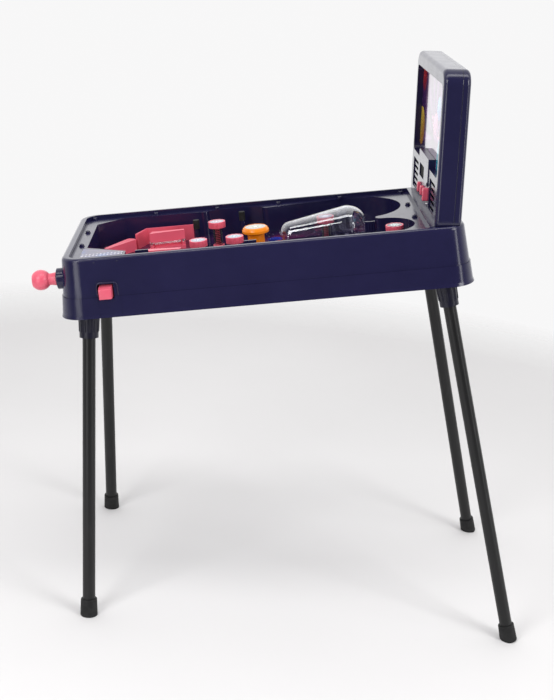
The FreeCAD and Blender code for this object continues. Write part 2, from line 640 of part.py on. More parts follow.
def grille_cuts(side):
    """The sunk field of a sound grille and its level slots."""
    x0, x1 = side * VENT_X - VENT_LONG / 2, side * VENT_X + VENT_LONG / 2
    top = VENT_U + VENT_PITCH * (VENT_COUNT - 1)
    cuts = [rect_prism(x0, x1, VENT_U - 5.0, top + 5.0, -1, VENT_DEEP, 2.0)]
    for i in range(VENT_COUNT):
        u = VENT_U + VENT_PITCH * i
        cuts.append(rect_prism(x0 + 1.5, x1 - 1.5, u - 2.4, u + 2.4, -1, 6, 1.0))
    return cuts


def make_backbox():
    """The score cabinet's front and rear shells."""
    wall = BOX_WALL
    ground = below_plinth()
    front = box_solid(0.0, 0.0, BOX_FRONT_D, BOX_EDGE, 0.0).cut(ground)
    hollow = box_solid(wall, wall, BOX_FRONT_D + 1, 4.0, 0.0)
    hollow = hollow.cut(block(-200, 200, -50, 100, -60, 6.0))
    x0, x1, u0, u1 = PICTURE
    tub = rect_prism(x0 - wall, x1 + wall, u0 - wall, u1 + wall, 0, PICTURE_DEEP + wall, 12)
    front = front.cut(hollow.cut(tub))
    px0, px1, _, pu1 = PANEL
    pit = rect_prism(x0, x1, u0, u1, -1, PICTURE_DEEP, 10)
    front = front.cut(pit.cut(rect_prism(px0, px1, u0 - 5, pu1, -2, PICTURE_DEEP + 1)))
    for side in SIDES.values():
        front = front.cut(grille_cuts(side))
    x0, x1, u0, u1 = DISPLAY
    front = front.cut(rect_prism(x0 - 2, x1 + 2, u0 - 2, u1 + 2, -1, wall + 1))
    for x, u, tall, _ in KEYS.values():
        front = front.cut(rect_prism(x - KEY_W / 2 - 0.4, x + KEY_W / 2 + 0.4, u - tall / 2 - 0.4,
                                     u + tall / 2 + 0.4, -1, wall + 1, KEY_W / 2 + 0.3))
    keep("backbox_front", on_box(front.removeSplitter()))

    rear = box_solid(0.0, BOX_FRONT_D, BOX_D, 0.0, BOX_EDGE).cut(ground)
    inner = box_solid(wall, BOX_FRONT_D - 1, BOX_D - wall, 0.0, 4.0)
    rear = rear.cut(inner.cut(block(-200, 200, -50, 100, -60, 6.0)))
    for x, u in BOX_SCREWS:
        rear = rear.cut(rod(3.6, (x, BOX_D - 1.6, u), (x, BOX_D + 2, u)))
    keep("backbox_rear", on_box(rear.removeSplitter()))


def make_box_screws():
    """Screws that close the score cabinet from behind."""
    screws = []
    for x, u in BOX_SCREWS:
        head = rod(3.3, (x, BOX_D - 1.6, u), (x, BOX_D - 0.3, u))
        for wide, deep in ((2.2, 0.4), (0.4, 2.2)):
            head = head.cut(block(x - wide, x + wide, BOX_D - 1.1, BOX_D, u - deep, u + deep))
        screws.append(head)
    keep("backbox_screws", on_box(Part.makeCompound(screws)))


def make_box_fronts():
    """The picture sheet, the raised score panel and the dark display window."""
    x0, x1, u0, u1 = PICTURE
    sheet = rect_prism(x0 + 0.5, x1 - 0.5, u0 + 0.5, u1 - 0.5, PICTURE_DEEP - 1.0, PICTURE_DEEP, 9.5)
    x0, x1, _, u1 = PANEL
    sheet = sheet.cut(rect_prism(x0 - 0.5, x1 + 0.5, u0 - 5, u1 + 0.5, 0, PICTURE_DEEP + 1))
    keep("picture_sheet", on_box(sheet))
    x0, x1, u0, u1 = PANEL
    panel = rect_prism(x0, x1, u0, u1, -PANEL_PROUD, -0.02, 3.0)
    face = [e for e in panel.Edges if abs(e.BoundBox.YMin + PANEL_PROUD) < 0.01
            and abs(e.BoundBox.YMax + PANEL_PROUD) < 0.01]
    panel = panel.makeFillet(0.8, face)
    x0, x1, u0, u1 = DISPLAY
    panel = panel.cut(rect_prism(x0, x1, u0, u1, -PANEL_PROUD - 1, 1, 1.5))
    keep("score_panel", on_box(panel))
    window = rect_prism(x0 - 1.8, x1 + 1.8, u0 - 1.8, u1 + 1.8, 0.0, 1.5)
    keep("display_window", on_box(window))


def make_keys():
    """Three pink push keys below the display."""
    for name, (x, u, tall, proud) in KEYS.items():
        key = rect_prism(x - KEY_W / 2, x + KEY_W / 2, u - tall / 2, u + tall / 2, -proud, 6.0, KEY_W / 2 - 0.1)
        face = [e for e in key.Edges if abs(e.BoundBox.YMin + proud) < 0.01
                and abs(e.BoundBox.YMax + proud) < 0.01]
        key = key.makeFillet(2.0, face)
        foot = rect_prism(x - KEY_W / 2 - 2, x + KEY_W / 2 + 2, u - tall / 2 - 2, u + tall / 2 + 2, 3.2, 5.0)
        keep("key_" + name, on_box(key.fuse(foot).removeSplitter()))


def make_box_inside():
    """The loudspeaker behind the left grille and the circuit board behind the keys."""
    x, u = -93.0, 36.0
    cone = rod(24.0, (x, 8.0, u), (x, 11.0, u)).fuse(Part.makeCone(21.0, 11.0, 7.0, Vec(x, 11.0, u), Vec(0, 1, 0)))
    cone = cone.fuse(rod(10.0, (x, 18.0, u), (x, 23.0, u)))
    keep("speaker", on_box(cone.removeSplitter()))
    keep("circuit_board", on_box(rect_prism(-60, 60, 10.0, 78.0, 14.5, 16.1, 2.0)))


# ---- legs ---------------------------------------------------------------------------
def leg_ends(side, back):
    """Where a leg's axis meets the bottom of the body and the floor."""
    h, s = -BODY_H, LEG_TOP_S[back]
    a = math.radians(SLOPE)
    top = Vec(side * LEG_TOP_X, RIM_FRONT_Y + s * math.cos(a) - h * math.sin(a),
              RIM_FRONT_Z + s * math.sin(a) + h * math.cos(a))
    return top, Vec(side * FOOT_X, FRONT_FOOT_Y + back * FOOT_SPAN_Y, 0)


def make_legs():
    """Four steel tube legs, each in a ribbed socket and a rubber foot."""
    under = on_table(block(-400, 400, -200, 900, -BODY_H, 300))
    floor = block(-500, 500, -700, 700, -60, 0)
    for back, end in enumerate(("front", "rear")):
        for name, side in SIDES.items():
            top, foot = leg_ends(side, back)
            way = (foot - top).normalize()

            def along(d, start=top, way=way):
                return tuple(start + way * d)

            long = (foot - top).Length
            socket = Part.makeCone(16.2, 14.4, SOCKET_LONG + 8 - 9, Vec(*along(-8)), way)
            socket = socket.fuse(rod(14.6, along(SOCKET_LONG - 9), along(SOCKET_LONG)))
            turn = FreeCAD.Rotation(Vec(0, 0, 1), way)
            for i in range(12):
                spoke = turn.multVec(Vec(math.cos(i * math.pi / 6), math.sin(i * math.pi / 6), 0))
                a, b = Vec(*along(-8)) + spoke * 16.0, Vec(*along(SOCKET_LONG - 9)) + spoke * 14.4
                socket = socket.fuse(rod(1.1, tuple(a), tuple(b)))
            socket = socket.cut(under).cut(rod(LEG_R + 0.08, along(0), along(SOCKET_LONG + 2)))
            socket = socket.cut(rod(LEG_R + 0.08, along(-12), along(1)))
            keep(f"{end}_{name}_socket", socket.removeSplitter())
            pipe = tube(LEG_R, LEG_R - LEG_WALL, along(2.5), along(long - 8))
            pipe = pipe.cut(under)
            keep(f"{end}_{name}_leg", pipe)
            lower = Part.makeCone(12.8, 13.8, FERRULE_LONG + 2, Vec(*along(long - FERRULE_LONG)), way)
            rim = [e for e in lower.Edges if e.Curve.TypeId == "Part::GeomCircle"]
            lower = lower.makeFillet(1.6, rim)
            lower = lower.cut(floor)
            lower = lower.cut(rod(LEG_R + 0.06, along(long - FERRULE_LONG - 3), along(long - 7.6)))
            keep(f"{end}_{name}_foot", lower)


def make_all():
    """Build every piece."""
    make_cabinet_shell()
    make_base_tray()
    make_deck()
    make_playfield()
    make_apron_label()
    make_deck_screws()
    make_battery_parts()
    make_lane_guides()
    make_slingshots()
    make_bumpers()
    make_orange_bumper()
    make_clear_dome()
    make_posts()
    make_arch_divider()
    make_shooter_lane()
    make_ball()
    make_flippers()
    make_side_buttons()
    make_plunger()
    make_backbox()
    make_box_screws()
    make_box_fronts()
    make_keys()
    make_box_inside()
    make_legs()


def write_all():
    """Write one STEP file for each node and print what was made."""
    os.makedirs("parts", exist_ok=True)
    whole = FreeCAD.BoundBox()
    for name, shape in NODES.items():
        shape.exportStep("parts/" + name + ".step")
        whole.add(shape.BoundBox)
        print(name, len(shape.Solids), shape.isValid(), round(shape.Volume))
    print("nodes", len(NODES), "box", whole)


make_all()
write_all()
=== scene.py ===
"""The looks of a children's standing pinball table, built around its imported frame.

Everything is in metres in the table's own frame: +Z up, +X to the player's right, and the
player stands at -Y. The body slopes up to the back, so most pieces are modelled level in the
table frame (x, s, h), with s along the slope from the front of the rim and h square to the
rim, and the score cabinet's pieces in its own frame (x, t, u). Both are carried to their
places in the mesh, so that every object stays at the origin.
"""
import json
import logging
import math
from contextlib import contextmanager
from dataclasses import dataclass
from enum import Enum
from typing import Any, Callable, Iterator, Mapping, Sequence

import bmesh
import bpy
from mathutils import Matrix, Vector


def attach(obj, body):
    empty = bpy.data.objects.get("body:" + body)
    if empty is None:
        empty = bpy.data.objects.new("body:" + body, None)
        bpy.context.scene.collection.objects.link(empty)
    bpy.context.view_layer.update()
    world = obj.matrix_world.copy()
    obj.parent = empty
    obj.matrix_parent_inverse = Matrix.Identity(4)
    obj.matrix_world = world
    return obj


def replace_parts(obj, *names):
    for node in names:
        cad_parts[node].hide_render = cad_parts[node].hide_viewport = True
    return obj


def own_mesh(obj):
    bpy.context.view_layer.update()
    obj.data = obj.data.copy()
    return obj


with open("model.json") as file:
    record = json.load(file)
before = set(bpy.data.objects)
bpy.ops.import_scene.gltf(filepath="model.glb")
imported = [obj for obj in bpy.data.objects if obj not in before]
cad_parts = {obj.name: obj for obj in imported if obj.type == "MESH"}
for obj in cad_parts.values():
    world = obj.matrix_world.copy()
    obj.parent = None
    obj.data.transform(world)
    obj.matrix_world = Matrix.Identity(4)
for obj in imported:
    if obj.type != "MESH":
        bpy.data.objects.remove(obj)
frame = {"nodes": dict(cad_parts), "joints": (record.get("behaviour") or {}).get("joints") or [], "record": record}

LOG = logging.getLogger("pinball_table")
MM = 0.001
NEAR = 0.01 * MM        # places closer than this count as the same
MERGE = 0.001 * MM      # points closer than this are joined
Colour = tuple[float, float, float]


def joint_axis(name: str) -> Vector:
    """The direction of one of the frame's joints."""
    return Vector(next(j["axis"] for j in frame["joints"] if j["name"] == name))


def mount_place(name: str) -> Vector:
    """The place of one of the record's mounts."""
    return Vector(next(m["pos_m"] for m in frame["record"]["mounts"] if m["name"] == name))


def tilt_of(axis: Vector) -> float:
    """How far an axis that runs backwards rises, in radians."""
    return math.atan2(axis.z, axis.y)


FRONT_FEET_Y = mount_place("front_left_foot").y
SLOPE = tilt_of(joint_axis("ball_roll"))
BOX_TILT = tilt_of(joint_axis("key_left_press"))
RIM_FRONT = Vector((0.0, FRONT_FEET_Y - 64.8 * MM, 568 * MM))
TABLE = Matrix.Translation(RIM_FRONT) @ Matrix.Rotation(SLOPE, 4, "X")
BOX = TABLE @ Matrix.Translation((0, 555 * MM, 0)) @ Matrix.Rotation(BOX_TILT - SLOPE, 4, "X")
FIELD_H = -48 * MM
LEDGE_H = -6 * MM
SIDE_LEAN = 5.0 / 91.4  # how far the body's side leans in over its height
BUMPER_TALL = 41 * MM
BUMPER_PLACES = (("front_right", 63, 198), ("left", -50, 225), ("mid_right", 59, 254.5),
                 ("dome", -20, 401), ("back_right", 76.5, 502))


# ---- modelling ----------------------------------------------------------------------
class Pick(Enum):
    """What a selection is made of."""

    VERTS = "VERT"
    EDGES = "EDGE"
    FACES = "FACE"


class Form:
    """One piece, modelled from a primitive with edit-mode tools and modifiers."""

    def __init__(self, name: str, primitive: Callable[..., Any], **size: Any) -> None:
        """Add the primitive that the piece starts from.

        Args:
            name: The piece's name.
            primitive: One of the bpy.ops.mesh.primitive_ tools.
            size: The primitive's own settings.
        """
        bpy.ops.object.select_all(action="DESELECT")
        primitive(**size)
        self.obj: bpy.types.Object = bpy.context.active_object
        self.obj.name = name
        self.obj.data.name = name
        self._apply_transform()

    @classmethod
    def cylinder(cls, name: str, radius: float, low: Vector | Sequence[float], height: float,
                 sides: int = 48) -> "Form":
        """An upright cylinder that stands on a point.

        Args:
            name: The piece's name.
            radius: Its radius.
            low: The middle of its foot.
            height: Its height.
            sides: How many sides it has.

        Returns:
            The new form.
        """
        at = Vector(low) + Vector((0, 0, height / 2))
        return cls(name, bpy.ops.mesh.primitive_cylinder_add, vertices=sides, radius=radius,
                   depth=height, location=at)

    @classmethod
    def block(cls, name: str, low: Sequence[float], high: Sequence[float]) -> "Form":
        """A block between two corners.

        Args:
            name: The piece's name.
            low: The corner with the smallest coordinates.
            high: The corner with the largest.

        Returns:
            The new form.
        """
        low, high = Vector(low), Vector(high)
        form = cls(name, bpy.ops.mesh.primitive_cube_add, size=1.0, location=(0, 0, 0))
        size = high - low
        form.obj.data.transform(Matrix.Translation((low + high) / 2) @ Matrix.Diagonal((*size, 1.0)))
        return form

    @classmethod
    def disc(cls, name: str, radius: float, at: Sequence[float], sides: int = 48) -> "Form":
        """A flat filled disc."""
        return cls(name, bpy.ops.mesh.primitive_circle_add, vertices=sides, radius=radius,
                   fill_type="NGON", location=at)

    def _apply_transform(self) -> None:
        """Move the object's place into its mesh."""
        self.obj.data.transform(self.obj.matrix_basis)
        self.obj.matrix_basis = Matrix.Identity(4)

    def _only(self) -> None:
        """Make this the one selected and active object."""
        bpy.ops.object.select_all(action="DESELECT")
        self.obj.select_set(True)
        bpy.context.view_layer.objects.active = self.obj

    @contextmanager
    def editing(self) -> Iterator["Form"]:
        """Edit mode on this piece alone.

        Returns:
            The form, in edit mode until the block ends.
        """
        self._only()
        bpy.ops.object.mode_set(mode="EDIT")
        try:
            yield self
        finally:
            bpy.ops.object.mode_set(mode="OBJECT")

    def choose(self, kind: Pick, test: Callable[[Vector, Vector], bool]) -> "Form":
        """Select the elements whose middle and normal pass a test.

        Args:
            kind: What to select.
            test: Takes a place and a normal. Edges have no normal, so they pass a zero one.

        Returns:
            The form itself.
        """
        bpy.ops.mesh.select_mode(type=kind.value)
        bpy.ops.mesh.select_all(action="DESELECT")
        mesh = bmesh.from_edit_mesh(self.obj.data)
        if kind is Pick.FACES:
            for face in mesh.faces:
                face.select_set(test(face.calc_center_median(), face.normal))
        elif kind is Pick.EDGES:
            for edge in mesh.edges:
                middle = (edge.verts[0].co + edge.verts[1].co) / 2
                edge.select_set(test(middle, Vector()))
        else:
            for vert in mesh.verts:
                vert.select_set(test(vert.co, vert.normal))
        mesh.select_flush_mode()
        bmesh.update_edit_mesh(self.obj.data)
        return self

    def extrude(self, move: Sequence[float]) -> "Form":
        """Extrude the selected region along a vector."""
        bpy.ops.mesh.extrude_region_move(TRANSFORM_OT_translate={"value": tuple(move)})
        return self

    def resize(self, scale: Sequence[float], centre: Sequence[float]) -> "Form":
        """Scale the selection about a point."""
        bpy.ops.transform.resize(value=tuple(scale), center_override=tuple(centre))
        return self

    def move(self, by: Sequence[float]) -> "Form":
        """Move the selection."""
        bpy.ops.transform.translate(value=tuple(by))
        return self

    def inset(self, thickness: float, depth: float = 0.0) -> "Form":
        """Inset the selected faces."""
        bpy.ops.mesh.inset(thickness=thickness, depth=depth)
        return self

    def bevel(self, width: float, segments: int = 3, corners: bool = False) -> "Form":
        """Bevel the selected edges, or the selected corners of a flat piece."""
        bpy.ops.mesh.bevel(offset=width, segments=segments, affect="VERTICES" if corners else "EDGES")
        return self

    def drop(self, kind: Pick) -> "Form":
        """Delete the selection."""
        bpy.ops.mesh.delete(type=kind.value)
        return self

    def modify(self, kind: str, **settings: Any) -> "Form":
        """Add a modifier with its settings and apply it.

        Args:
            kind: The modifier's type.
            settings: Its settings.

        Returns:
            The form itself.
        """
        self._only()
        modifier = self.obj.modifiers.new(kind.lower(), kind)
        for key, value in settings.items():
            setattr(modifier, key, value)
        bpy.ops.object.modifier_apply(modifier=modifier.name)
        return self

    def recalculate(self) -> "Form":
        """Merge doubled points and point every face outwards.

        Returns:
            The form itself.
        """
        with self.editing():
            bpy.ops.mesh.select_all(action="SELECT")
            bpy.ops.mesh.remove_doubles(threshold=MERGE)
            bpy.ops.mesh.normals_make_consistent(inside=False)
        return self

    def cap_ends(self) -> "Form":
        """Close the open ends of a tube.

        Returns:
            The form itself.
        """
        with self.editing():
            bpy.ops.mesh.select_all(action="SELECT")
            bpy.ops.mesh.fill_holes(sides=0)
        return self

    def round_edges(self, width: float, segments: int = 3, angle: float = 30.0) -> "Form":
        """Round every edge that is sharper than an angle in degrees."""
        return self.modify("BEVEL", width=width, segments=segments, limit_method="ANGLE",
                           angle_limit=math.radians(angle))

    def cut(self, tool: "Form") -> "Form":
        """Cut another piece out of this one, and use it up.

        Args:
            tool: The piece to take away.

        Returns:
            The form itself.
        """
        self.modify("BOOLEAN", operation="DIFFERENCE", object=tool.obj, solver="EXACT")
        tool.discard()
        return self

    def mirror(self) -> "Form":
        """Turn the piece into its twin on the other side of the table."""
        return self.carry(Matrix.Diagonal((-1, 1, 1, 1))).recalculate()

    def discard(self) -> None:
        """Remove the piece from the scene."""
        bpy.data.objects.remove(self.obj)

    def copy(self, name: str) -> "Form":
        """A copy with its own mesh.

        Args:
            name: The copy's name.

        Returns:
            The copy.
        """
        twin = object.__new__(Form)
        twin.obj = self.obj.copy()
        twin.obj.data = self.obj.data.copy()
        twin.obj.name = twin.obj.data.name = name
        bpy.context.scene.collection.objects.link(twin.obj)
        return twin

    def carry(self, matrix: Matrix) -> "Form":
        """Carry the mesh into the world.

        Args:
            matrix: Where to carry it.

        Returns:
            The form itself.
        """
        self.obj.data.transform(matrix)
        self.obj.data.update()
        return self

    def finish(self, finish: "Finish", body: str, slot: str, angle: float = 35.0) -> bpy.types.Object:
        """Shade the piece, give it its material and set it on its body.

        Args:
            finish: The finish it is made in.
            body: The body it rides on.
            slot: The record's material slot; not used.
            angle: Edges sharper than this, in degrees, stay sharp.

        Returns:
            The finished object.
        """
        self._only()
        bpy.ops.object.shade_smooth_by_angle(angle=math.radians(angle))
        self.obj.data.materials.clear()
        self.obj.data.materials.append(finish.material())
        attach(self.obj, body)
        LOG.info("made %s on %s", self.obj.name, body)
        return self.obj


# ---- shader arithmetic --------------------------------------------------------------
class Signal:
    """A shader socket that takes part in Python arithmetic by adding Math nodes."""

    def __init__(self, recipe: "Recipe", socket: bpy.types.NodeSocket) -> None:
        """Wrap a socket of a recipe."""
        self.recipe = recipe
        self.socket = socket

    def _math(self, operation: str, *values: "Signal | float") -> "Signal":
        """One Math node on some values."""
        return self.recipe.node("ShaderNodeMath", {"operation": operation}, dict(enumerate(values)))

    def __add__(self, other: "Signal | float") -> "Signal":
        """Sum."""
        return self._math("ADD", self, other)

    __radd__ = __add__

    def __sub__(self, other: "Signal | float") -> "Signal":
        """Difference."""
        return self._math("SUBTRACT", self, other)

    def __rsub__(self, other: float) -> "Signal":
        """Difference from a number."""
        return self._math("SUBTRACT", other, self)

    def __mul__(self, other: "Signal | float") -> "Signal":
        """Product."""
        return self._math("MULTIPLY", self, other)

    __rmul__ = __mul__

    def __truediv__(self, other: "Signal | float") -> "Signal":
        """Quotient."""
        return self._math("DIVIDE", self, other)

    def __abs__(self) -> "Signal":
        """Size without sign."""
        return self._math("ABSOLUTE", self)

    def __mod__(self, other: float) -> "Signal":
        """Remainder, never negative."""
        return self._math("FLOORED_MODULO", self, other)

    def root(self) -> "Signal":
        """Square root."""
        return self._math("SQRT", self)

    def larger(self, other: "Signal | float") -> "Signal":
        """The larger of two values."""
        return self._math("MAXIMUM", self, other)

    def rise(self, low: float, high: float) -> "Signal":
        """0 below low, 1 above high and a straight rise between; falls where low is above high."""
        return self.recipe.node("ShaderNodeMapRange", {"clamp": True},
                                {"Value": self, "From Min": low, "From Max": high})


class Recipe:
    """The node tree of one material."""

    def __init__(self, name: str) -> None:
        """Start a material with a Principled shader.

        Args:
            name: The material's name.
        """
        self.result = bpy.data.materials.new(name)
        self.result.use_nodes = True
        self.tree = self.result.node_tree
        self.shader = next(n for n in self.tree.nodes if n.type == "BSDF_PRINCIPLED")
        self.output = next(n for n in self.tree.nodes if n.type == "OUTPUT_MATERIAL")

    def node(self, kind: str, settings: Mapping[str, Any] | None = None,
             sockets: Mapping[str | int, Any] | None = None, out: str | int = 0) -> Signal:
        """Add a node.

        Args:
            kind: The node's type.
            settings: Its settings; "stops" are the places and colours of a ramp.
            sockets: Values or signals for its sockets.
            out: Which output to give back.

        Returns:
            The output as a signal.
        """
        node = self.tree.nodes.new(kind)
        for key, value in (settings or {}).items():
            if key == "stops":
                ramp = node.color_ramp
                while len(ramp.elements) < len(value):
                    ramp.elements.new(0.5)
                for element, (place, colour) in zip(ramp.elements, value):
                    element.position = place
                    element.color = (*colour, 1.0)
            else:
                setattr(node, key, value)
        for key, value in (sockets or {}).items():
            self.feed(node.inputs[key], value)
        return Signal(self, node.outputs[out])

    def feed(self, socket: bpy.types.NodeSocket, value: Any) -> None:
        """Link a signal to a socket, or set its value.

        Args:
            socket: The input to feed.
            value: A signal, a colour or a number.
        """
        if isinstance(value, Signal):
            self.tree.links.new(value.socket, socket)
        elif isinstance(value, tuple) and len(value) == 3 and socket.type == "RGBA":
            socket.default_value = (*value, 1.0)
        else:
            socket.default_value = value

    def set(self, **sockets: Any) -> None:
        """Set or link the Principled shader's sockets, with _ for a space in their names."""
        for key, value in sockets.items():
            self.feed(self.shader.inputs[key.replace("_", " ")], value)

    def place(self, matrix: Matrix | None = None) -> Signal:
        """Object coordinates, in another frame where one is given.

        Args:
            matrix: The frame to read places in.

        Returns:
            The place as a signal.
        """
        place = self.node("ShaderNodeTexCoord", out="Object")
        if matrix is None:
            return place
        back = matrix.inverted()
        return self.node("ShaderNodeMapping", {}, {"Vector": place, "Location": back.to_translation(),
                                                   "Rotation": back.to_euler()})

    def axes(self, place: Signal) -> tuple[Signal, Signal, Signal]:
        """The three numbers of a place."""
        node = self.node("ShaderNodeSeparateXYZ", {}, {0: place}).socket.node
        return Signal(self, node.outputs[0]), Signal(self, node.outputs[1]), Signal(self, node.outputs[2])

    def noise(self, place: Signal, scale: float, detail: float = 3.0, rough: float = 0.5) -> Signal:
        """Soft noise from 0 to 1."""
        return self.node("ShaderNodeTexNoise", {}, {"Vector": place, "Scale": scale, "Detail": detail,
                                                    "Roughness": rough}, "Fac")

    def stretched(self, place: Signal, scale: Sequence[float]) -> Signal:
        """A place, scaled along each axis."""
        return self.node("ShaderNodeMapping", {}, {"Vector": place, "Scale": scale})

    def rays(self, x: Signal, y: Signal, count: float) -> Signal:
        """A wave from -1 to 1 that runs round the origin a number of times."""
        turn = self.node("ShaderNodeMath", {"operation": "ARCTAN2"}, {0: y, 1: x})
        return self.node("ShaderNodeMath", {"operation": "SINE"}, {0: turn * count})

    def mix(self, mask: Signal | float, under: Any, over: Any) -> Signal:
        """A colour that goes from under to over where the mask is 1.

        Args:
            mask: 0 for the colour under, 1 for the colour over.
            under: The first colour.
            over: The second colour.

        Returns:
            The mixed colour.
        """
        node = self.tree.nodes.new("ShaderNodeMix")
        node.data_type = "RGBA"
        self.feed(node.inputs["Factor"], mask)
        self.feed(node.inputs[6], under)
        self.feed(node.inputs[7], over)
        return Signal(self, node.outputs[2])

    def bump(self, height: Signal, distance: float, strength: float = 1.0) -> None:
        """Feed a height in metres times distance to the shader's normal."""
        self.set(Normal=self.node("ShaderNodeBump", {}, {"Height": height, "Distance": distance,
                                                         "Strength": strength}, "Normal"))


# ---- finishes -----------------------------------------------------------------------
class Finish:
    """A finish that makes its material once."""

    _made: dict[Any, bpy.types.Material] = {}

    def material(self) -> bpy.types.Material:
        """The finish's material, built on first use.

        Returns:
            The one material that pieces in this finish share.
        """
        if self not in Finish._made:
            Finish._made[self] = self.build()
        return Finish._made[self]

    def build(self) -> bpy.types.Material:
        """Build the material."""
        raise NotImplementedError


@dataclass(frozen=True)
class Moulded(Finish):
    """Moulded plastic: flow marks in the colour, a patchy gloss and a faint skin texture."""

    name: str
    colour: Colour
    roughness: float = 0.24
    mottle: float = 0.10
    skin: float = 0.00003
    ior: float = 1.5
    sheen_marks: float = 0.08
    seam: float | None = None

    def build(self) -> bpy.types.Material:
        """Build the material.

        Returns:
            The finished material.
        """
        r = Recipe(self.name)
        place = r.place()
        flow = r.noise(place, 9.0, 4.0, 0.6)
        fine = r.noise(place, 420.0, 2.0)
        patch = r.noise(place, 34.0, 3.0)
        scuff = r.noise(r.stretched(place, (260.0, 22.0, 60.0)), 1.0)
        dark = tuple(c * (1 - self.mottle) for c in self.colour)
        light = tuple(min(1.0, c * (1 + self.mottle) + 0.001) for c in self.colour)
        colour, height = r.mix(flow.rise(0.3, 0.7), dark, light), fine * self.skin
        if self.seam is not None:
            _, t, _ = r.axes(r.place(BOX))
            gap = abs(t - self.seam).rise(0.7 * MM, 0.2 * MM)
            colour, height = r.mix(gap * 0.6, colour, (0.0, 0.0, 0.0)), height - gap * (0.3 * MM)
        r.set(Base_Color=colour, IOR=self.ior,
              Roughness=self.roughness + (patch - 0.5) * self.sheen_marks + scuff.rise(0.62, 0.8) * 0.10)
        r.bump(height, 1.0, 0.6)
        return r.result


@dataclass(frozen=True)
class Clear(Finish):
    """Thin clear plastic: seen through, with a bright gloss."""

    name: str
    tint: Colour = (0.93, 0.94, 0.97)

    def build(self) -> bpy.types.Material:
        """Build the material.

        Returns:
            The finished material.
        """
        r = Recipe(self.name)
        haze = r.noise(r.place(), 60.0, 4.0)
        edge = r.node("ShaderNodeLayerWeight", {}, {"Blend": 0.5}, "Facing")
        square = edge * edge
        clear = r.node("ShaderNodeBsdfTransparent", {}, {"Color": self.tint})
        gloss = r.node("ShaderNodeBsdfGlossy", {}, {"Color": (1.0, 1.0, 1.0), "Roughness": 0.04})
        film = 0.07 + square * 0.62 + haze.rise(0.55, 0.85) * 0.02
        both = r.node("ShaderNodeMixShader", {}, {0: film, 1: clear, 2: gloss})
        r.tree.nodes.remove(r.shader)
        r.tree.links.new(both.socket, r.output.inputs["Surface"])
        return r.result


@dataclass(frozen=True)
class Metal(Finish):
    """Bare or plated metal with fine brushing."""

    name: str
    colour: Colour
    roughness: float = 0.18
    brushing: float = 900.0

    def build(self) -> bpy.types.Material:
        """Build the material.

        Returns:
            The finished material.
        """
        r = Recipe(self.name)
        place = r.place()
        grain = r.noise(r.stretched(place, (1.0, 0.06, 1.0)), self.brushing, 2.0)
        tarnish = r.noise(place, 45.0, 3.0)
        worn = tuple(c * 0.72 for c in self.colour)
        r.set(Base_Color=r.mix(tarnish.rise(0.45, 0.8) * 0.6, self.colour, worn), Metallic=1.0,
              Roughness=self.roughness + grain * 0.08 + tarnish * 0.06)
        r.bump(grain, 0.00001, 0.4)
        return r.result


@dataclass(frozen=True)
class PowderCoat(Finish):
    """Satin powder coat on steel: a fine pebbled skin with a few rubbed places."""

    name: str
    colour: Colour = (0.010, 0.010, 0.0105)
    roughness: float = 0.34

    def build(self) -> bpy.types.Material:
        """Build the material.

        Returns:
            The finished material.
        """
        r = Recipe(self.name)
        place = r.place()
        pebbles = r.node("ShaderNodeTexVoronoi", {"feature": "SMOOTH_F1"},
                         {"Vector": place, "Scale": 900.0, "Smoothness": 0.8}, "Distance")
        rub = r.noise(r.stretched(place, (1.0, 1.0, 0.15)), 90.0, 5.0)
        light = tuple(c * 1.5 for c in self.colour)
        r.set(Base_Color=r.mix(rub.rise(0.56, 0.72), self.colour, light), IOR=1.38,
              Roughness=self.roughness - rub.rise(0.5, 0.8) * 0.05 + pebbles * 0.04)
        r.bump(pebbles, 0.00006, 0.5)
        return r.result


@dataclass(frozen=True)
class Rubber(Finish):
    """Matt moulded rubber with bloom."""

    name: str
    colour: Colour = (0.011, 0.011, 0.0115)

    def build(self) -> bpy.types.Material:
        """Build the material.

        Returns:
            The finished material.
        """
        r = Recipe(self.name)
        place = r.place()
        bloom = r.noise(place, 70.0, 5.0, 0.65)
        grit = r.noise(place, 1400.0, 2.0)
        pale = tuple(c * 1.9 + 0.005 for c in self.colour)
        r.set(Base_Color=r.mix(bloom.rise(0.45, 0.75), self.colour, pale),
              Roughness=0.58 + bloom * 0.2, IOR=1.35)
        r.bump(grit, 0.00005, 0.6)
        return r.result


@dataclass(frozen=True)
class Spot:
    """A round picture element: a place in the print's own frame, a size and two colours."""

    x: float
    y: float
    radius: float
    colour: Colour
    shade: Colour
    ring: bool = False


@dataclass(frozen=True)
class Fan:
    """Bright streaks that spread from a point; on the field, the first fan is a painted reflection."""

    x: float
    y: float
    inner: float
    outer: float
    count: float
    colour: Colour


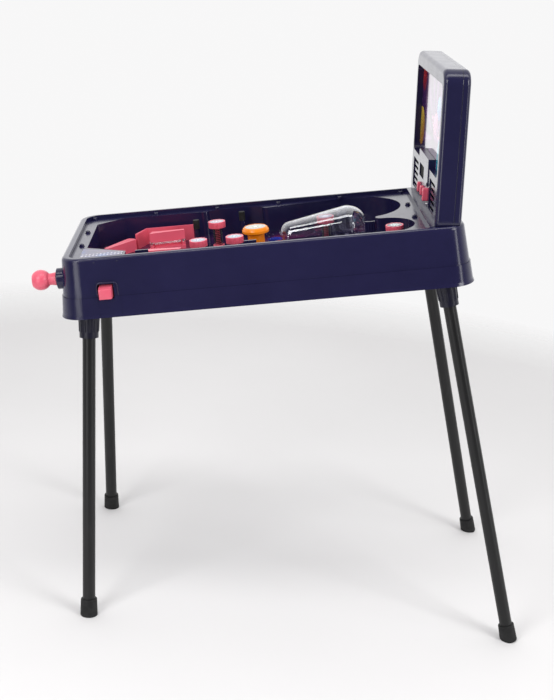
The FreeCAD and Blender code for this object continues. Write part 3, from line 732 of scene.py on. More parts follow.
@dataclass(frozen=True)
class SpacePrint(Finish):
    """A printed night sky: clouds of colour, stars, plain planets and streak fans, under varnish; the field's
    first streak fan is a painted reflection.
    """

    name: str
    matrix: tuple[tuple[float, ...], ...]
    upright: bool
    sky: tuple[Colour, Colour, Colour]
    spots: tuple[Spot, ...]
    fans: tuple[Fan, ...] = ()
    roughness: float = 0.16

    def build(self) -> bpy.types.Material:
        """Build the material.

        Returns:
            The finished material.
        """
        r = Recipe(self.name)
        place = r.place(Matrix(self.matrix))
        x, second, third = r.axes(place)
        y = third if self.upright else second
        cloud = r.noise(place, 11.0, 5.0, 0.62)
        colour = r.node("ShaderNodeValToRGB", {"stops": (
            (0.36, self.sky[0]), (0.52, self.sky[1]), (0.68, self.sky[2]))}, {"Fac": cloud})
        # Streak fans: printed rays, and on the field also a painted reflection of the silver streaks behind the
        # dome.
        for fan in self.fans:
            dx, dy = x - fan.x, y - fan.y
            far = (dx * dx + dy * dy).root()
            band = far.rise(fan.inner, fan.inner * 1.6) * far.rise(fan.outer, fan.outer * 0.7)
            mask = r.rays(dx, dy, fan.count).rise(0.1, 0.8) * band
            colour = r.mix(mask * 0.8, colour, fan.colour)
        for spot in self.spots:
            dx, dy = (x - spot.x) / spot.radius, (y - spot.y) / spot.radius
            far = (dx * dx + dy * dy).root()
            body = r.mix((dx - dy + 0.4 * cloud).rise(-0.6, 1.0), spot.colour, spot.shade)
            colour = r.mix(far.rise(1.03, 0.97), colour, body)
            if spot.ring:
                tall = dy * 3.4 + dx * 0.9
                ring = (dx * dx * 0.5 + tall * tall).root()
                colour = r.mix(ring.rise(1.3, 1.25) * ring.rise(1.02, 1.07), colour, spot.colour)
        stars = r.node("ShaderNodeTexVoronoi", {}, {"Vector": place, "Scale": 130.0}, "Distance")
        colour = r.mix(stars.rise(0.10, 0.06), colour, (0.9, 0.88, 0.95))
        print_dots = r.noise(place, 1500.0, 1.0)
        r.set(Base_Color=colour, Roughness=self.roughness + cloud * 0.06, Coat_Weight=0.45)
        r.bump(print_dots, 0.00001, 0.3)
        return r.result


@dataclass(frozen=True)
class Foil(Finish):
    """A silver-lilac foil sticker with a slow colour shift and rows of plain dashes."""

    name: str

    def build(self) -> bpy.types.Material:
        """Build the material.

        Returns:
            The finished material.
        """
        r = Recipe(self.name)
        place = r.place(TABLE)
        x, s, _ = r.axes(place)
        shift = r.noise(place, 26.0, 3.0, 0.7)
        colour = r.node("ShaderNodeValToRGB", {"stops": (
            (0.32, (0.22, 0.30, 0.50)), (0.47, (0.27, 0.26, 0.36)), (0.58, (0.30, 0.29, 0.33)),
            (0.72, (0.36, 0.28, 0.38)))}, {"Fac": shift})
        rows = (x * 1000.0 % 9.0).rise(3.2, 2.6)
        dashes = (s * 1000.0 % 5.5 + shift * 2.0).rise(3.4, 3.0)
        edge = x.rise(98 * MM, 100 * MM)
        colour = r.mix(rows * dashes * edge * 0.9, colour, (0.90, 0.90, 0.94))
        flake = r.node("ShaderNodeTexVoronoi", {}, {"Vector": place, "Scale": 700.0}, "Color")
        r.set(Base_Color=colour, Metallic=0.25, Roughness=0.40 + shift * 0.16)
        r.bump(r.node("ShaderNodeSeparateXYZ", {}, {0: flake}), 0.00002, 0.4)
        return r.result


@dataclass(frozen=True)
class CapSticker(Finish):
    """A round cap sticker: a pale silver disc with a coloured star burst round its middle."""

    name: str
    centre: tuple[float, float, float]
    radius: float
    ground: Colour
    burst: Colour
    accent: Colour
    points: int = 9

    def build(self) -> bpy.types.Material:
        """Build the material.

        Returns:
            The finished material.
        """
        r = Recipe(self.name)
        place = r.place(TABLE @ Matrix.Translation(self.centre))
        x, y, _ = r.axes(place)
        far = (x * x + y * y).root() / self.radius
        wave = r.rays(x, y, float(self.points))
        star = (far + wave * 0.12).rise(0.62, 0.56)
        inner = (far - wave * 0.10).rise(0.42, 0.38)
        speck = r.noise(place, 900.0, 2.0)
        ground = r.mix(speck.rise(0.5, 0.7) * 0.25, self.ground, (0.70, 0.70, 0.74))
        colour = r.mix(star, ground, self.burst)
        colour = r.mix(inner, colour, self.accent)
        colour = r.mix(far.rise(0.20, 0.17), colour, (0.78, 0.78, 0.82))
        r.set(Base_Color=colour, Roughness=0.20 + speck * 0.12, Coat_Weight=0.4)
        r.bump(speck, 0.00001, 0.3)
        return r.result


@dataclass(frozen=True)
class Board(Finish):
    """A green circuit board with copper tracks under the mask."""

    name: str

    def build(self) -> bpy.types.Material:
        """Build the material.

        Returns:
            The finished material.
        """
        r = Recipe(self.name)
        x, _, u = r.axes(r.place(BOX))
        across = (x * 1000.0 % 2.54).rise(1.5, 1.2)
        along = (u * 1000.0 % 2.54).rise(1.5, 1.2)
        route = r.noise(r.place(), 120.0, 1.0)
        tracks = across.larger(along) * route.rise(0.48, 0.52)
        r.set(Base_Color=r.mix(tracks, (0.012, 0.10, 0.035), (0.05, 0.22, 0.07)), Roughness=0.35)
        r.bump(tracks, 0.00003, 0.5)
        return r.result


@dataclass(frozen=True)
class Studio(Finish):
    """The pale studio floor, which fades out at its edge."""

    name: str
    radius: float

    def build(self) -> bpy.types.Material:
        """Build the material.

        Returns:
            The finished material.
        """
        r = Recipe(self.name)
        place = r.place()
        x, y, _ = r.axes(place)
        far = (x * x + y * y).root()
        paper = r.noise(place, 2.2, 4.0)
        r.set(Base_Color=r.mix(paper, (0.77, 0.755, 0.758), (0.82, 0.81, 0.812)), Roughness=0.75,
              Alpha=far.rise(self.radius, self.radius * 0.78))
        return r.result


NAVY = Moulded("navy_plastic", (0.0125, 0.0112, 0.0500), roughness=0.20)
PINK = Moulded("pink_plastic", (0.80, 0.118, 0.185), roughness=0.32, mottle=0.05)
ORANGE = Moulded("orange_plastic", (1.00, 0.275, 0.006), roughness=0.24, mottle=0.05)
BLACK = Moulded("black_plastic", (0.010, 0.010, 0.011), roughness=0.40)
WINDOW = Moulded("dark_window", (0.006, 0.007, 0.006), roughness=0.35, skin=0.000004, ior=1.03)
# The sockets' navy is darkened to about half as painted shade, for the shade that falls on them under the body.
SOCKET_PAINTED_SHADE = Moulded("socket_navy_painted_shade", (0.0060, 0.0058, 0.0190), roughness=0.36, ior=1.4)
SHELL = Moulded("cabinet_navy", (0.0115, 0.0105, 0.0450), roughness=0.22, seam=28 * MM)
STEEL = Metal("bright_steel", (0.78, 0.78, 0.80))
WIRE = Metal("black_wire", (0.035, 0.035, 0.038), roughness=0.30)
LEG_COAT = PowderCoat("black_steel")
FOOT_RUBBER = Rubber("black_rubber")
DOME_PLASTIC = Clear("clear_plastic")
CIRCUIT = Board("circuit")
LABEL = Foil("foil_label")
FIELD_PRINT = SpacePrint(
    "printed_field", tuple(tuple(row) for row in TABLE), False,
    ((0.006, 0.005, 0.022), (0.022, 0.008, 0.050), (0.17, 0.014, 0.085)),
    (Spot(0.010, 0.215, 0.020, (0.90, 0.55, 0.05), (0.60, 0.14, 0.02)),
     Spot(-0.085, 0.135, 0.016, (0.92, 0.50, 0.04), (0.45, 0.10, 0.02)),
     Spot(-0.060, 0.318, 0.013, (0.03, 0.05, 0.45), (0.01, 0.02, 0.20)),
     Spot(0.070, 0.330, 0.026, (0.80, 0.10, 0.16), (0.25, 0.02, 0.08)),
     Spot(0.060, 0.420, 0.014, (0.06, 0.30, 0.32), (0.02, 0.10, 0.20), True),
     Spot(0.000, 0.110, 0.012, (0.85, 0.80, 0.20), (0.60, 0.30, 0.05)),
     Spot(-0.040, 0.325, 0.010, (0.75, 0.08, 0.05), (0.10, 0.55, 0.12))),
    # This first fan is a painted reflection: the silver streaks seen behind the dome.
    (Fan(0.020, 0.440, 0.012, 0.085, 26.0, (0.50, 0.47, 0.60)),
     Fan(-0.004, 0.050, 0.010, 0.050, 18.0, (0.62, 0.22, 0.45))))
PICTURE_PRINT = SpacePrint(
    "printed_picture", tuple(tuple(row) for row in BOX), True,
    ((0.010, 0.006, 0.030), (0.060, 0.012, 0.10), (0.16, 0.03, 0.14)),
    (Spot(-0.118, 0.110, 0.031, (0.85, 0.60, 0.06), (0.45, 0.20, 0.02)),
     Spot(-0.110, 0.190, 0.022, (0.62, 0.03, 0.02), (0.25, 0.01, 0.02)),
     Spot(0.105, 0.085, 0.050, (0.03, 0.42, 0.55), (0.01, 0.12, 0.30)),
     Spot(0.030, 0.130, 0.022, (0.75, 0.25, 0.45), (0.20, 0.05, 0.25), True),
     Spot(0.055, 0.162, 0.018, (0.20, 0.45, 0.85), (0.04, 0.08, 0.35))),
    (Fan(0.020, 0.110, 0.020, 0.120, 14.0, (0.35, 0.12, 0.42)),), roughness=0.07)


# ---- carried-over pieces ------------------------------------------------------------
class Carried:
    """The CAD pieces that keep their shape and take a finish."""

    finishes: Mapping[Finish, Sequence[str]] = {
        NAVY: ("cabinet_shell", "base_tray", "deck", "post_front", "post_back", "arch_divider",
               "shooter_lane", "plunger_collar", "score_panel", "battery_door"),
        # The sockets take the navy that is darkened as painted shade.
        SOCKET_PAINTED_SHADE: ("front_left_socket", "front_right_socket", "rear_left_socket", "rear_right_socket"),
        SHELL: ("backbox_front", "backbox_rear"),
        PINK: ("left_lane_guide", "right_lane_guide", "left_slingshot", "right_slingshot",
               "left_flipper", "right_flipper", "plunger_knob"),
        ORANGE: ("orange_bumper",),
        BLACK: ("battery_box", "speaker"),
        WINDOW: ("display_window",),
        STEEL: ("plunger_rod", "ball", "slingshot_screws", "backbox_screws"),
        LEG_COAT: ("front_left_leg", "front_right_leg", "rear_left_leg", "rear_right_leg"),
        FOOT_RUBBER: ("front_left_foot", "front_right_foot", "rear_left_foot", "rear_right_foot",
                      "post_sleeve_front", "post_sleeve_back"),
        CIRCUIT: ("circuit_board",),
        LABEL: ("apron_label",),
        FIELD_PRINT: ("playfield",),
        PICTURE_PRINT: ("picture_sheet",),
    }

    def dress(self) -> None:
        """Give every carried-over node its finish."""
        for finish, names in self.finishes.items():
            for name in names:
                mesh = frame["nodes"][name].data
                mesh.materials.clear()
                mesh.materials.append(finish.material())
                LOG.info("dressed %s", name)


# ---- springs ------------------------------------------------------------------------
@dataclass
class Coil:
    """A coil spring of round wire, standing on a point."""

    name: str
    radius: float
    wire: float
    length: float
    turns: int
    steps: int = 20

    def build(self) -> Form:
        """Screw a small ring of wire up round the axis.

        Returns:
            The spring, standing on the origin along +Z.
        """
        form = Form(self.name, bpy.ops.mesh.primitive_circle_add, vertices=8, radius=self.wire,
                    fill_type="NOTHING", location=(self.radius, 0, 0), rotation=(math.pi / 2, 0, 0))
        form.modify("SCREW", axis="Z", angle=2 * math.pi, iterations=self.turns, steps=self.steps,
                    render_steps=self.steps, screw_offset=(self.length - 2 * self.wire) / self.turns,
                    use_smooth_shade=True)
        form.cap_ends().recalculate()
        form.obj.data.transform(Matrix.Translation((0, 0, self.wire)))
        return form


def along(start: Vector, end: Vector) -> Matrix:
    """The matrix that stands a piece's +Z along a line from start."""
    return Matrix.Translation(start) @ (end - start).to_track_quat("Z", "Y").to_matrix().to_4x4()


@dataclass
class Springs:
    """All the springs that show: round the bumper stems, across the kickers and on the plunger."""

    kicker_ends: tuple[tuple[float, float], ...] = ((44.5, 115.5), (51.5, 167.5))
    centre_x: float = -4 * MM
    plunger: tuple[float, float] = (112.9 * MM, -35.5 * MM)

    def build(self) -> None:
        """Build the springs in place."""
        first = Coil("bumper_spring_1", radius=6.9 * MM, wire=0.65 * MM, length=28.0 * MM, turns=9).build()
        for i, (_, x, s) in enumerate(BUMPER_PLACES):
            spot = Vector((x * MM, s * MM, FIELD_H + 2.3 * MM))
            spring = first.copy(f"bumper_spring_{i + 1}a").carry(TABLE @ Matrix.Translation(spot))
            obj = spring.finish(WIRE, "table", "black_wire", 80)
            if i == 0:
                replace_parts(obj, "bumper_springs")
        first.discard()
        (xa, sa), (xb, sb) = self.kicker_ends
        for name, side in (("left", -1), ("right", 1)):
            start = Vector((self.centre_x + side * xa * MM, sa * MM, FIELD_H + 12.3 * MM))
            end = Vector((self.centre_x + side * xb * MM, sb * MM, FIELD_H + 12.3 * MM))
            way = (end - start).normalized() * 3.6 * MM
            long = (end - start).length - 2 * way.length
            spring = Coil(f"kicker_spring_{name}", radius=2.0 * MM, wire=0.55 * MM, length=long,
                          turns=15, steps=12).build().carry(TABLE @ along(start + way, end - way))
            obj = spring.finish(STEEL, "table", "bright_steel", 80)
            if side < 0:
                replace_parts(obj, "slingshot_springs")
        x, h = self.plunger
        start, end = Vector((x, 4.6 * MM, h)), Vector((x, 49.4 * MM, h))
        spring = Coil("plunger_return_spring", radius=6.0 * MM, wire=0.6 * MM,
                      length=(end - start).length, turns=11).build()
        obj = spring.carry(TABLE @ along(start, end)).finish(STEEL, "table", "bright_steel", 80)
        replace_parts(obj, "plunger_spring")
        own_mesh(obj)


# ---- bumpers, buttons, caps and screws ----------------------------------------------
@dataclass
class Bumpers:
    """Five pink bumpers: a spread foot, a stem and a fluted cap with a sunk top."""

    cap_r: float = 14 * MM
    cap_tall: float = 10 * MM
    top_r: float = 11.5 * MM
    stem_r: float = 4 * MM
    foot_r: float = 9.5 * MM
    flutes: int = 12
    sides: int = 96

    def _flute(self, form: Form) -> None:
        """Draw in a narrow strip of the cap's side at each flute.

        Args:
            form: The bumper, in edit mode.
        """
        step = 2 * math.pi / self.flutes

        def in_flute(c: Vector, n: Vector) -> bool:
            """Whether a point of the rim lies in a flute."""
            off = (math.atan2(c.y, c.x) + step / 2) % step - step / 2
            return abs(off) < 0.055 and math.hypot(c.x, c.y) > self.cap_r - 0.5 * MM

        form.choose(Pick.VERTS, in_flute).resize((0.93, 0.93, 1), (0, 0, 0))

    def _model(self) -> Form:
        """Model one bumper, standing on the origin.

        Returns:
            The bumper.
        """
        low = BUMPER_TALL - self.cap_tall
        form = Form.cylinder("bumper", self.cap_r, (0, 0, low), self.cap_tall, self.sides)
        with form.editing():
            form.choose(Pick.FACES, lambda c, n: n.z > 0.9)
            form.inset(self.cap_r - self.top_r - 0.6 * MM)
            form.inset(0.6 * MM).extrude((0, 0, -0.6 * MM))
            form.choose(Pick.FACES, lambda c, n: n.z < -0.9 and c.z < low + NEAR)
            form.inset(self.cap_r - self.stem_r - 2 * MM).extrude((0, 0, -1.2 * MM)).inset(2 * MM)
            form.extrude((0, 0, -(low - 1.2 * MM - 1.9 * MM)))
            form.extrude((0, 0, 0)).resize((self.foot_r / self.stem_r,) * 2 + (1,), (0, 0, 0))
            form.extrude((0, 0, -1.7 * MM))
            self._flute(form)
        form.recalculate()
        return form.round_edges(0.55 * MM, angle=50.0)

    def build(self) -> None:
        """Copy the bumper to its places."""
        model = self._model()
        for name, x, s in BUMPER_PLACES:
            cap = model.copy(f"bumper_cap_{name}")
            cap.carry(TABLE @ Matrix.Translation((x * MM, s * MM, FIELD_H)))
            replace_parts(cap.finish(PINK, "table", "pink_plastic", 40), f"bumper_{name}")
        model.discard()


@dataclass
class SideButtons:
    """The square pink buttons, with a steep shoulder on top and a smaller one behind."""

    s: tuple[float, float] = (47.1 * MM, 69 * MM)
    h: tuple[float, float] = (-62 * MM, -41 * MM)
    x: tuple[float, float] = (140 * MM, 159 * MM)
    shoulder: float = 5.5 * MM
    cheek: float = 3.0 * MM
    edge: float = 1.1 * MM

    def build(self) -> None:
        """Build a button on each side."""
        (s0, s1), (h0, h1), (x0, x1) = self.s, self.h, self.x
        for name, side in (("left", -1), ("right", 1)):
            form = Form.block(f"button_cap_{name}", (x0, s0, h0), (x1, s1, h1))
            with form.editing():
                form.choose(Pick.VERTS, lambda c, n: c.x > x1 - NEAR and c.z > h1 - NEAR)
                form.move((0, 0, -self.shoulder))
                form.choose(Pick.VERTS, lambda c, n: c.x > x1 - NEAR and c.y > s1 - NEAR)
                form.move((0, -self.cheek, 0))
            form.recalculate()
            form.round_edges(self.edge, segments=4, angle=20.0)
            if side < 0:
                form.mirror()
            body = f"{name}_button"
            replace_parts(form.carry(TABLE).finish(PINK, body, "pink_plastic", 40), body)


@dataclass
class CapTops:
    """The printed discs let into the tops of the bumpers."""

    radius: float = 11.3 * MM
    orange: tuple[float, float, float] = (0.0, 287.5 * MM, 39 * MM)
    orange_radius: float = 16.4 * MM

    def _disc(self, name: str, spot: Vector, radius: float, finish: Finish) -> None:
        """A thin disc with a rolled edge and a slightly raised middle.

        Args:
            name: The disc's name.
            spot: Its middle, in the table frame.
            radius: Its radius.
            finish: Its print.
        """
        form = Form.disc(name, radius, spot, 64)
        with form.editing():
            bpy.ops.mesh.select_all(action="SELECT")
            form.extrude((0, 0, 0.35 * MM)).inset(0.5 * MM).move((0, 0, 0.12 * MM))
            form.inset(radius * 0.45).move((0, 0, 0.15 * MM))
        form.recalculate().carry(TABLE)
        form.finish(finish, "table", "foil_label", 60)

    def build(self) -> None:
        """Build one disc for each bumper."""
        pale, dark = (0.30, 0.32, 0.40), (0.015, 0.018, 0.05)
        looks = ((pale, (0.52, 0.54, 0.62), (0.18, 0.24, 0.46)),
                 (pale, (0.55, 0.52, 0.60), (0.42, 0.13, 0.25)),
                 (pale, (0.50, 0.57, 0.62), (0.13, 0.28, 0.44)),
                 (pale, (0.72, 0.48, 0.58), (0.90, 0.90, 0.92)),
                 (dark, (0.70, 0.76, 0.80), (0.10, 0.35, 0.30)))
        for i, ((_, x, s), (ground, burst, accent)) in enumerate(zip(BUMPER_PLACES, looks)):
            spot = Vector((x * MM, s * MM, FIELD_H + BUMPER_TALL - 0.6 * MM))
            finish = CapSticker(f"cap_print_{i + 1}", tuple(spot), self.radius, ground, burst, accent)
            self._disc(f"bumper_cap_print_{i + 1}", spot, self.radius, finish)
        x, s, tall = self.orange
        spot = Vector((x, s, FIELD_H + tall - 0.7 * MM))
        finish = CapSticker("cap_print_orange", tuple(spot), self.orange_radius, (0.40, 0.40, 0.37),
                            (0.58, 0.55, 0.42), (0.34, 0.42, 0.30), 12)
        self._disc("orange_cap_print", spot, self.orange_radius, finish)


@dataclass
class DeckScrews:
    """Large cross-head screws round the deck, each on a low boss."""

    head: float = 3.5 * MM
    boss: float = 4.6 * MM
    tall: float = 3.8 * MM
    side_x: float = 133 * MM
    first_s: float = 17 * MM
    step_s: float = 104 * MM
    end_x: float = 43 * MM
    end_s: tuple[float, float] = (15 * MM, 537.5 * MM)

    def _screw(self) -> Form:
        """Model one screw: a boss, a waisted neck, a rounded head and a sunk cross.

        Returns:
            The screw.
        """
        form = Form.cylinder("deck_screw", self.boss, (0, 0, 0), 1.2 * MM, 32)
        with form.editing():
            form.choose(Pick.FACES, lambda c, n: n.z > 0.9)
            form.inset(self.boss - self.head).extrude((0, 0, self.tall - 2.0 * MM))
            form.extrude((0, 0, 0.5 * MM)).resize((0.93, 0.93, 1), (0, 0, 0))
            form.extrude((0, 0, 0.3 * MM)).resize((0.78, 0.78, 1), (0, 0, 0))
        long, thin, floor, over = 2.4 * MM, 0.55 * MM, self.tall - 1.5 * MM, self.tall + MM
        for name, x, y in (("cross_a", long, thin), ("cross_b", thin, long)):
            form.cut(Form.block(name, (-x, -y, floor), (x, y, over)))
        return form

    def build(self) -> None:
        """Copy the screw to its places."""
        model = self._screw()
        places = [(side * self.side_x, self.first_s + i * self.step_s) for side in (-1, 1) for i in range(6)]
        places += [(side * self.end_x, s) for side in (-1, 1) for s in self.end_s]
        for i, (x, s) in enumerate(places):
            spin = Matrix.Rotation(0.5 * i, 4, "Z")
            screw = model.copy(f"deck_screw_{i + 1:02d}")
            screw.carry(TABLE @ Matrix.Translation((x, s, LEDGE_H)) @ spin)
            obj = screw.finish(NAVY, "table", "navy_plastic", 40)
            if i == 0:
                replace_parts(obj, "deck_screws")
        model.discard()


# ---- clear dome ---------------------------------------------------------------------
@dataclass
class Dome:
    """The clear blister over the rear bumper: a low round front and a tall full back."""

    front: Vector = Vector((-20 * MM, 347 * MM, 0))
    back: Vector = Vector((-20 * MM, 433.5 * MM, 0))
    front_r: float = 24 * MM
    back_r: float = 38 * MM
    front_tall: float = 36 * MM
    back_tall: float = 53 * MM
    wall: float = 1.2 * MM
    flange: float = 5 * MM
    fullness: float = 2.5

    def _shape(self, form: Form) -> None:
        """Swell the half ball, and part it into a tall back and a low front.

        Args:
            form: A half ball of radius 1, in edit mode.
        """
        mesh = bmesh.from_edit_mesh(form.obj.data)
        for vert in mesh.verts:
            x, y, z = vert.co
            size = (math.hypot(x, y) ** self.fullness + abs(z) ** self.fullness) ** (1 / self.fullness)
            at_front = y < -NEAR
            middle = self.front if at_front else self.back
            radius = self.front_r if at_front else self.back_r
            tall = self.front_tall if at_front else self.back_tall
            vert.co = middle + Vector((x * radius, y * radius, abs(z) * tall)) / size
            vert.co.z += FIELD_H
        bmesh.update_edit_mesh(form.obj.data)

    def _spread(self, form: Form) -> None:
        """Move the selected edge outwards by the flange's width.

        Args:
            form: The dome, in edit mode.
        """
        mesh = bmesh.from_edit_mesh(form.obj.data)
        long = self.back.y - self.front.y
        for vert in (v for v in mesh.verts if v.select):
            way = min(1.0, max(0.0, (vert.co.y - self.front.y) / long))
            out = vert.co - self.front.lerp(self.back, way)
            vert.co += Vector((out.x, out.y, 0)).normalized() * self.flange
        bmesh.update_edit_mesh(form.obj.data)

    def build(self) -> None:
        """Build the dome and its flange."""
        form = Form("clear_dome_shell", bpy.ops.mesh.primitive_uv_sphere_add, segments=64, ring_count=32,
                    radius=1.0, rotation=(math.pi / 2, 0, 0))
        with form.editing():
            bpy.ops.mesh.select_all(action="SELECT")
            bpy.ops.mesh.bisect(plane_co=(0, 0, 0), plane_no=(0, 0, 1), clear_inner=True)
            self._shape(form)
            form.choose(Pick.EDGES, lambda c, n: self.front.y + 5 * MM < c.y < self.back.y - 5 * MM)
            bpy.ops.mesh.subdivide(number_cuts=10)
            form.choose(Pick.EDGES, lambda c, n: c.z < FIELD_H + NEAR)
            form.extrude((0, 0, 0))
            self._spread(form)
        form.modify("SOLIDIFY", thickness=self.wall, offset=-1.0)
        door = Form.block("doorway", (self.front.x - 11 * MM, 310 * MM, FIELD_H - 5 * MM),
                          (self.front.x + 11 * MM, 340 * MM, FIELD_H + 19 * MM))
        form.cut(door)
        form.carry(Matrix.Translation((0, 0, self.wall + 0.05 * MM))).carry(TABLE)
        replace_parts(form.finish(DOME_PLASTIC, "table", "clear_plastic", 60), "clear_dome")


# ---- small trim ---------------------------------------------------------------------
@dataclass
class ButtonHoods:
    """The raised bead round the top of each side button's pocket, and two moulding marks."""

    s: tuple[float, float] = (43.4 * MM, 76.5 * MM)
    h: tuple[float, float] = (-59.2 * MM, -36.5 * MM)
    corner: float = 7 * MM
    bead: float = 1.9 * MM
    proud: float = 1.7 * MM

    marks: tuple[float, float] = (45 * MM, 79 * MM)
    mark_r: float = 1.3 * MM
    mark_x: float = 147.9 * MM
    mark_h: float = -6.5 * MM
    rim_half: float = 148 * MM

    def _side_x(self, h: float) -> float:
        """Half the body's width at a height."""
        return self.rim_half - h * SIDE_LEAN

    def build(self) -> None:
        """Build a hood on each side of the body."""
        for name, side in (("left", -1), ("right", 1)):
            (s0, s1), (h0, h1) = self.s, self.h
            x = self._side_x((h0 + h1) / 2) - 0.4 * MM
            form = Form(f"button_hood_{name}", bpy.ops.mesh.primitive_plane_add, size=1.0)
            turn = Matrix(((0, 0, 1, 0), (s1 - s0, 0, 0, 0), (0, h1 - h0, 0, 0), (0, 0, 0, 1)))
            form.obj.data.transform(Matrix.Translation((x, (s0 + s1) / 2, (h0 + h1) / 2)) @ turn)
            with form.editing():
                form.choose(Pick.VERTS, lambda c, n: c.z > h1 - NEAR)
                form.bevel(self.corner, 6, corners=True)
                form.choose(Pick.FACES, lambda c, n: True)
                form.inset(self.bead)
                form.drop(Pick.FACES)
                form.choose(Pick.FACES, lambda c, n: c.z < h0 + self.bead)
                form.drop(Pick.FACES)
                form.choose(Pick.FACES, lambda c, n: True)
                form.extrude((self.proud + 0.4 * MM, 0, 0))
            form.recalculate()
            form.round_edges(0.7 * MM)
            lean = Matrix.Translation((x, 0, (h0 + h1) / 2)) @ Matrix.Rotation(math.atan(SIDE_LEAN), 4, "Y")
            form.carry(lean @ Matrix.Translation((-x, 0, -(h0 + h1) / 2)))
            if side < 0:
                form.mirror()
            form.carry(TABLE).finish(NAVY, "table", "navy_plastic", 50)
            for number, mark in enumerate(self.marks):
                at = (side * self.mark_x, mark, self.mark_h)
                nub = Form(f"moulding_nub_{name}_{number + 1}", bpy.ops.mesh.primitive_uv_sphere_add,
                           segments=20, ring_count=12, radius=self.mark_r, location=at)
                with nub.editing():
                    nub.choose(Pick.VERTS, lambda c, n: side * n.x < -0.2).resize((0.2, 1.3, 1.3), at)
                nub.carry(TABLE).finish(NAVY, "table", "navy_plastic", 60)


@dataclass
class CabinetTrim:
    """Small parts on the score cabinet: a slider slot, a lamp and the three keys."""

    slot: tuple[float, float, float] = (47 * MM, 42.0 * MM, 5.5 * MM)
    slot_face: float = -2.3 * MM
    keys: tuple[tuple[str, float, float, float, float], ...] = (
        ("left", -34, 24.5, 16, 4.7), ("middle", 1, 26, 15.4, 5.0), ("right", 47, 29.4, 20.8, 7.8))
    key_wide: float = 9 * MM
    lamp: tuple[float, float] = (48.5 * MM, 14.8 * MM)

    def build(self) -> None:
        """Build the trim."""
        x, u, tall = self.slot
        top = u + tall
        form = Form.block("slider_slot", (x - 2.4 * MM, self.slot_face, u), (x + 2.4 * MM, -1.4 * MM, top))
        with form.editing():
            form.choose(Pick.EDGES, lambda c, n: abs(c.x - x) > 2 * MM and not u + NEAR <= c.z <= top - NEAR)
            form.bevel(2.2 * MM, 5)
            form.choose(Pick.FACES, lambda c, n: n.y < -0.9)
            form.inset(0.7 * MM, -0.4 * MM)
        form.recalculate().carry(BOX).finish(BLACK, "table", "black_plastic")
        x, u = self.lamp
        lamp = Form("ready_lamp", bpy.ops.mesh.primitive_uv_sphere_add, segments=32, ring_count=16,
                    radius=1.8 * MM, location=(x, -0.2 * MM, u))
        with lamp.editing():
            lamp.choose(Pick.VERTS, lambda c, n: c.y > 0.3 * MM)
            lamp.resize((1.5, 0.1, 1.5), (x, 0.3 * MM, u))
        lamp.carry(BOX).finish(STEEL, "table", "bright_steel")
        for name, x, u, tall, proud in self.keys:
            self._key(name, Vector((x * MM, 0, u * MM)), tall * MM, proud * MM)

    def _key(self, name: str, at: Vector, tall: float, proud: float) -> None:
        """A rounded key with a crowned face, in its slot in the cabinet.

        Args:
            name: Which key it is.
            at: Its middle, in the cabinet's frame.
            tall: Its height.
            proud: How far it stands out.
        """
        half = Vector((self.key_wide / 2, 0, tall / 2))
        face, rear = Vector((0, 1.05 * MM - proud, 0)), Vector((0, 0.6 * MM, 0))

        def at_corner(c: Vector, n: Vector) -> bool:
            """Whether an edge runs along one of the key's four corners."""
            off = c - at
            return abs(abs(off.x) - half.x) < NEAR and abs(abs(off.z) - half.z) < NEAR

        form = Form.block(f"key_cap_{name}", at - half + face, at + half + rear)
        with form.editing():
            form.choose(Pick.EDGES, at_corner).bevel(3.2 * MM, 6)
            form.choose(Pick.FACES, lambda c, n: n.y < -0.9)
            form.inset(1.0 * MM, 0.7 * MM).inset(1.1 * MM, 0.35 * MM)
        form.recalculate()
        body = f"key_{name}"
        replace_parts(form.carry(BOX).finish(PINK, body, "pink_plastic", 50), body)


# ---- the studio ---------------------------------------------------------------------
@dataclass
class Camera:
    """The camera that the main view is taken from."""

    place: Vector = Vector((1.9721, FRONT_FEET_Y + 0.1564, 1.0851))
    yaw: float = math.radians(3.38)
    pitch: float = math.radians(19.08)
    roll: float = math.radians(5.245)
    lens: float = 65.06
    sensor: float = 36.0

    def build(self) -> None:
        """Create the camera and make it the scene's."""
        ahead = Vector((-math.cos(self.pitch) * math.cos(self.yaw), math.cos(self.pitch) * math.sin(self.yaw),
                        -math.sin(self.pitch)))
        right = ahead.cross(Vector((0, 0, 1))).normalized()
        up = right.cross(ahead)
        tilted = math.cos(self.roll) * right + math.sin(self.roll) * up
        above = -math.sin(self.roll) * right + math.cos(self.roll) * up
        data = bpy.data.cameras.new("camera")
        data.lens = self.lens
        data.sensor_width = self.sensor
        data.sensor_fit = "AUTO"
        data.clip_start = 0.02
        camera = bpy.data.objects.new("camera", data)
        turned = Matrix((tilted, above, -ahead)).transposed().to_4x4()
        camera.matrix_world = Matrix.Translation(self.place) @ turned
        bpy.context.scene.collection.objects.link(camera)
        bpy.context.scene.camera = camera


@dataclass(frozen=True)
class Softbox:
    """One soft rectangular light."""

    name: str
    place: tuple[float, float, float]
    size: tuple[float, float]
    power: float
    target: tuple[float, float, float] = (0.0, 0.0, 0.6)

    def build(self) -> None:
        """Create the light."""
        data = bpy.data.lights.new(self.name, "AREA")
        data.shape = "RECTANGLE"
        data.size, data.size_y = self.size
        data.energy = self.power
        light = bpy.data.objects.new(self.name, data)
        way = Vector(self.target) - Vector(self.place)
        turned = way.to_track_quat("-Z", "Y").to_matrix().to_4x4()
        light.matrix_world = Matrix.Translation(self.place) @ turned
        bpy.context.scene.collection.objects.link(light)


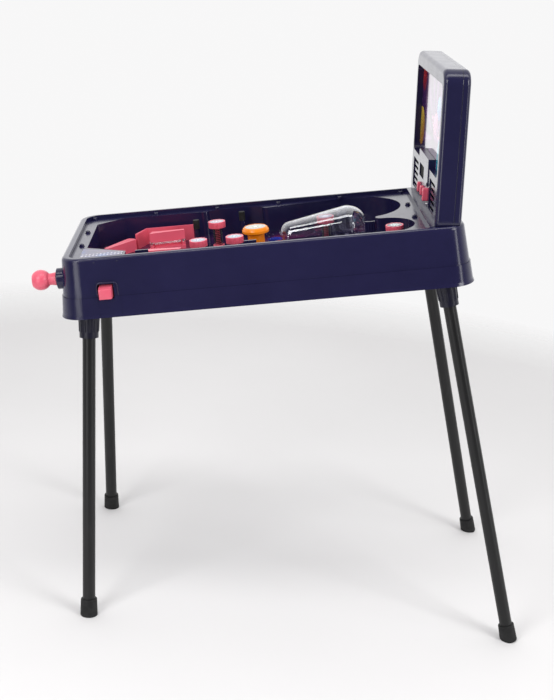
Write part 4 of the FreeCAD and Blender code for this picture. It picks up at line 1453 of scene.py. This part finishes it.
@dataclass
class StudioSet:
    """A pale floor and a soft studio: bright behind the table, darker on the camera's side."""

    floor_radius: float = 1.75
    backdrop: Colour = (0.935, 0.932, 0.934)
    bright: float = 1.12
    dim: float = 0.12
    glow: float = 0.35
    boxes: tuple[Softbox, ...] = (
        Softbox("key_left", (1.75, -1.45, 1.75), (1.0, 1.1), 23.0),
        Softbox("key_right", (1.55, 1.75, 1.65), (0.9, 1.1), 22.0),
        Softbox("overhead", (0.50, 0.05, 2.35), (2.4, 0.45), 16.0),
        Softbox("low_front", (1.95, -1.40, 0.38), (0.95, 0.9), 9.0, (0.1, -0.3, 0.5)),
        Softbox("low_back", (1.35, 2.00, 0.45), (0.35, 1.2), 6.0, (0.1, 0.3, 0.5)),
    )

    def _floor(self) -> None:
        """A large round floor."""
        form = Form.disc("floor", self.floor_radius, (0, 0, 0), 96)
        form.obj.data.materials.append(Studio("studio_floor", self.floor_radius).material())

    def _world(self) -> None:
        """A plain backdrop for the camera, and a bright and a dim side for the light."""
        world = bpy.data.worlds.new("studio")
        world.use_nodes = True
        tree = world.node_tree
        background = tree.nodes["Background"]
        coordinates = tree.nodes.new("ShaderNodeTexCoord")
        axes = tree.nodes.new("ShaderNodeSeparateXYZ")
        tree.links.new(coordinates.outputs["Generated"], axes.inputs[0])
        total = tree.nodes.new("ShaderNodeMath")
        for i, ends in enumerate(((-0.35, 0.45, self.bright, self.dim), (-0.75, -0.95, 0.0, self.glow))):
            ramp = tree.nodes.new("ShaderNodeMapRange")
            for socket, value in zip(("From Min", "From Max", "To Min", "To Max"), ends):
                ramp.inputs[socket].default_value = value
            tree.links.new(axes.outputs[0], ramp.inputs["Value"])
            tree.links.new(ramp.outputs["Result"], total.inputs[i])
        seen = tree.nodes.new("ShaderNodeLightPath")
        plain = tree.nodes.new("ShaderNodeMix")
        plain.data_type = "RGBA"
        plain.inputs[7].default_value = (*self.backdrop, 1.0)
        tree.links.new(seen.outputs["Is Camera Ray"], plain.inputs["Factor"])
        tree.links.new(total.outputs[0], plain.inputs[6])
        tree.links.new(plain.outputs[2], background.inputs["Color"])
        bpy.context.scene.world = world

    def build(self) -> None:
        """Build the set."""
        self._floor()
        self._world()
        for box in self.boxes:
            box.build()
        bpy.context.scene.view_settings.view_transform = "Standard"


def main() -> None:
    """Build the camera, the studio and every piece."""
    logging.basicConfig(level=logging.INFO, format="%(message)s")
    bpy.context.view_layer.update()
    Camera().build()
    StudioSet().build()
    Carried().dress()
    for part in (Springs, Bumpers, SideButtons, CapTops, DeckScrews, Dome, ButtonHoods, CabinetTrim):
        part().build()


if __name__ == "__main__":
    main()
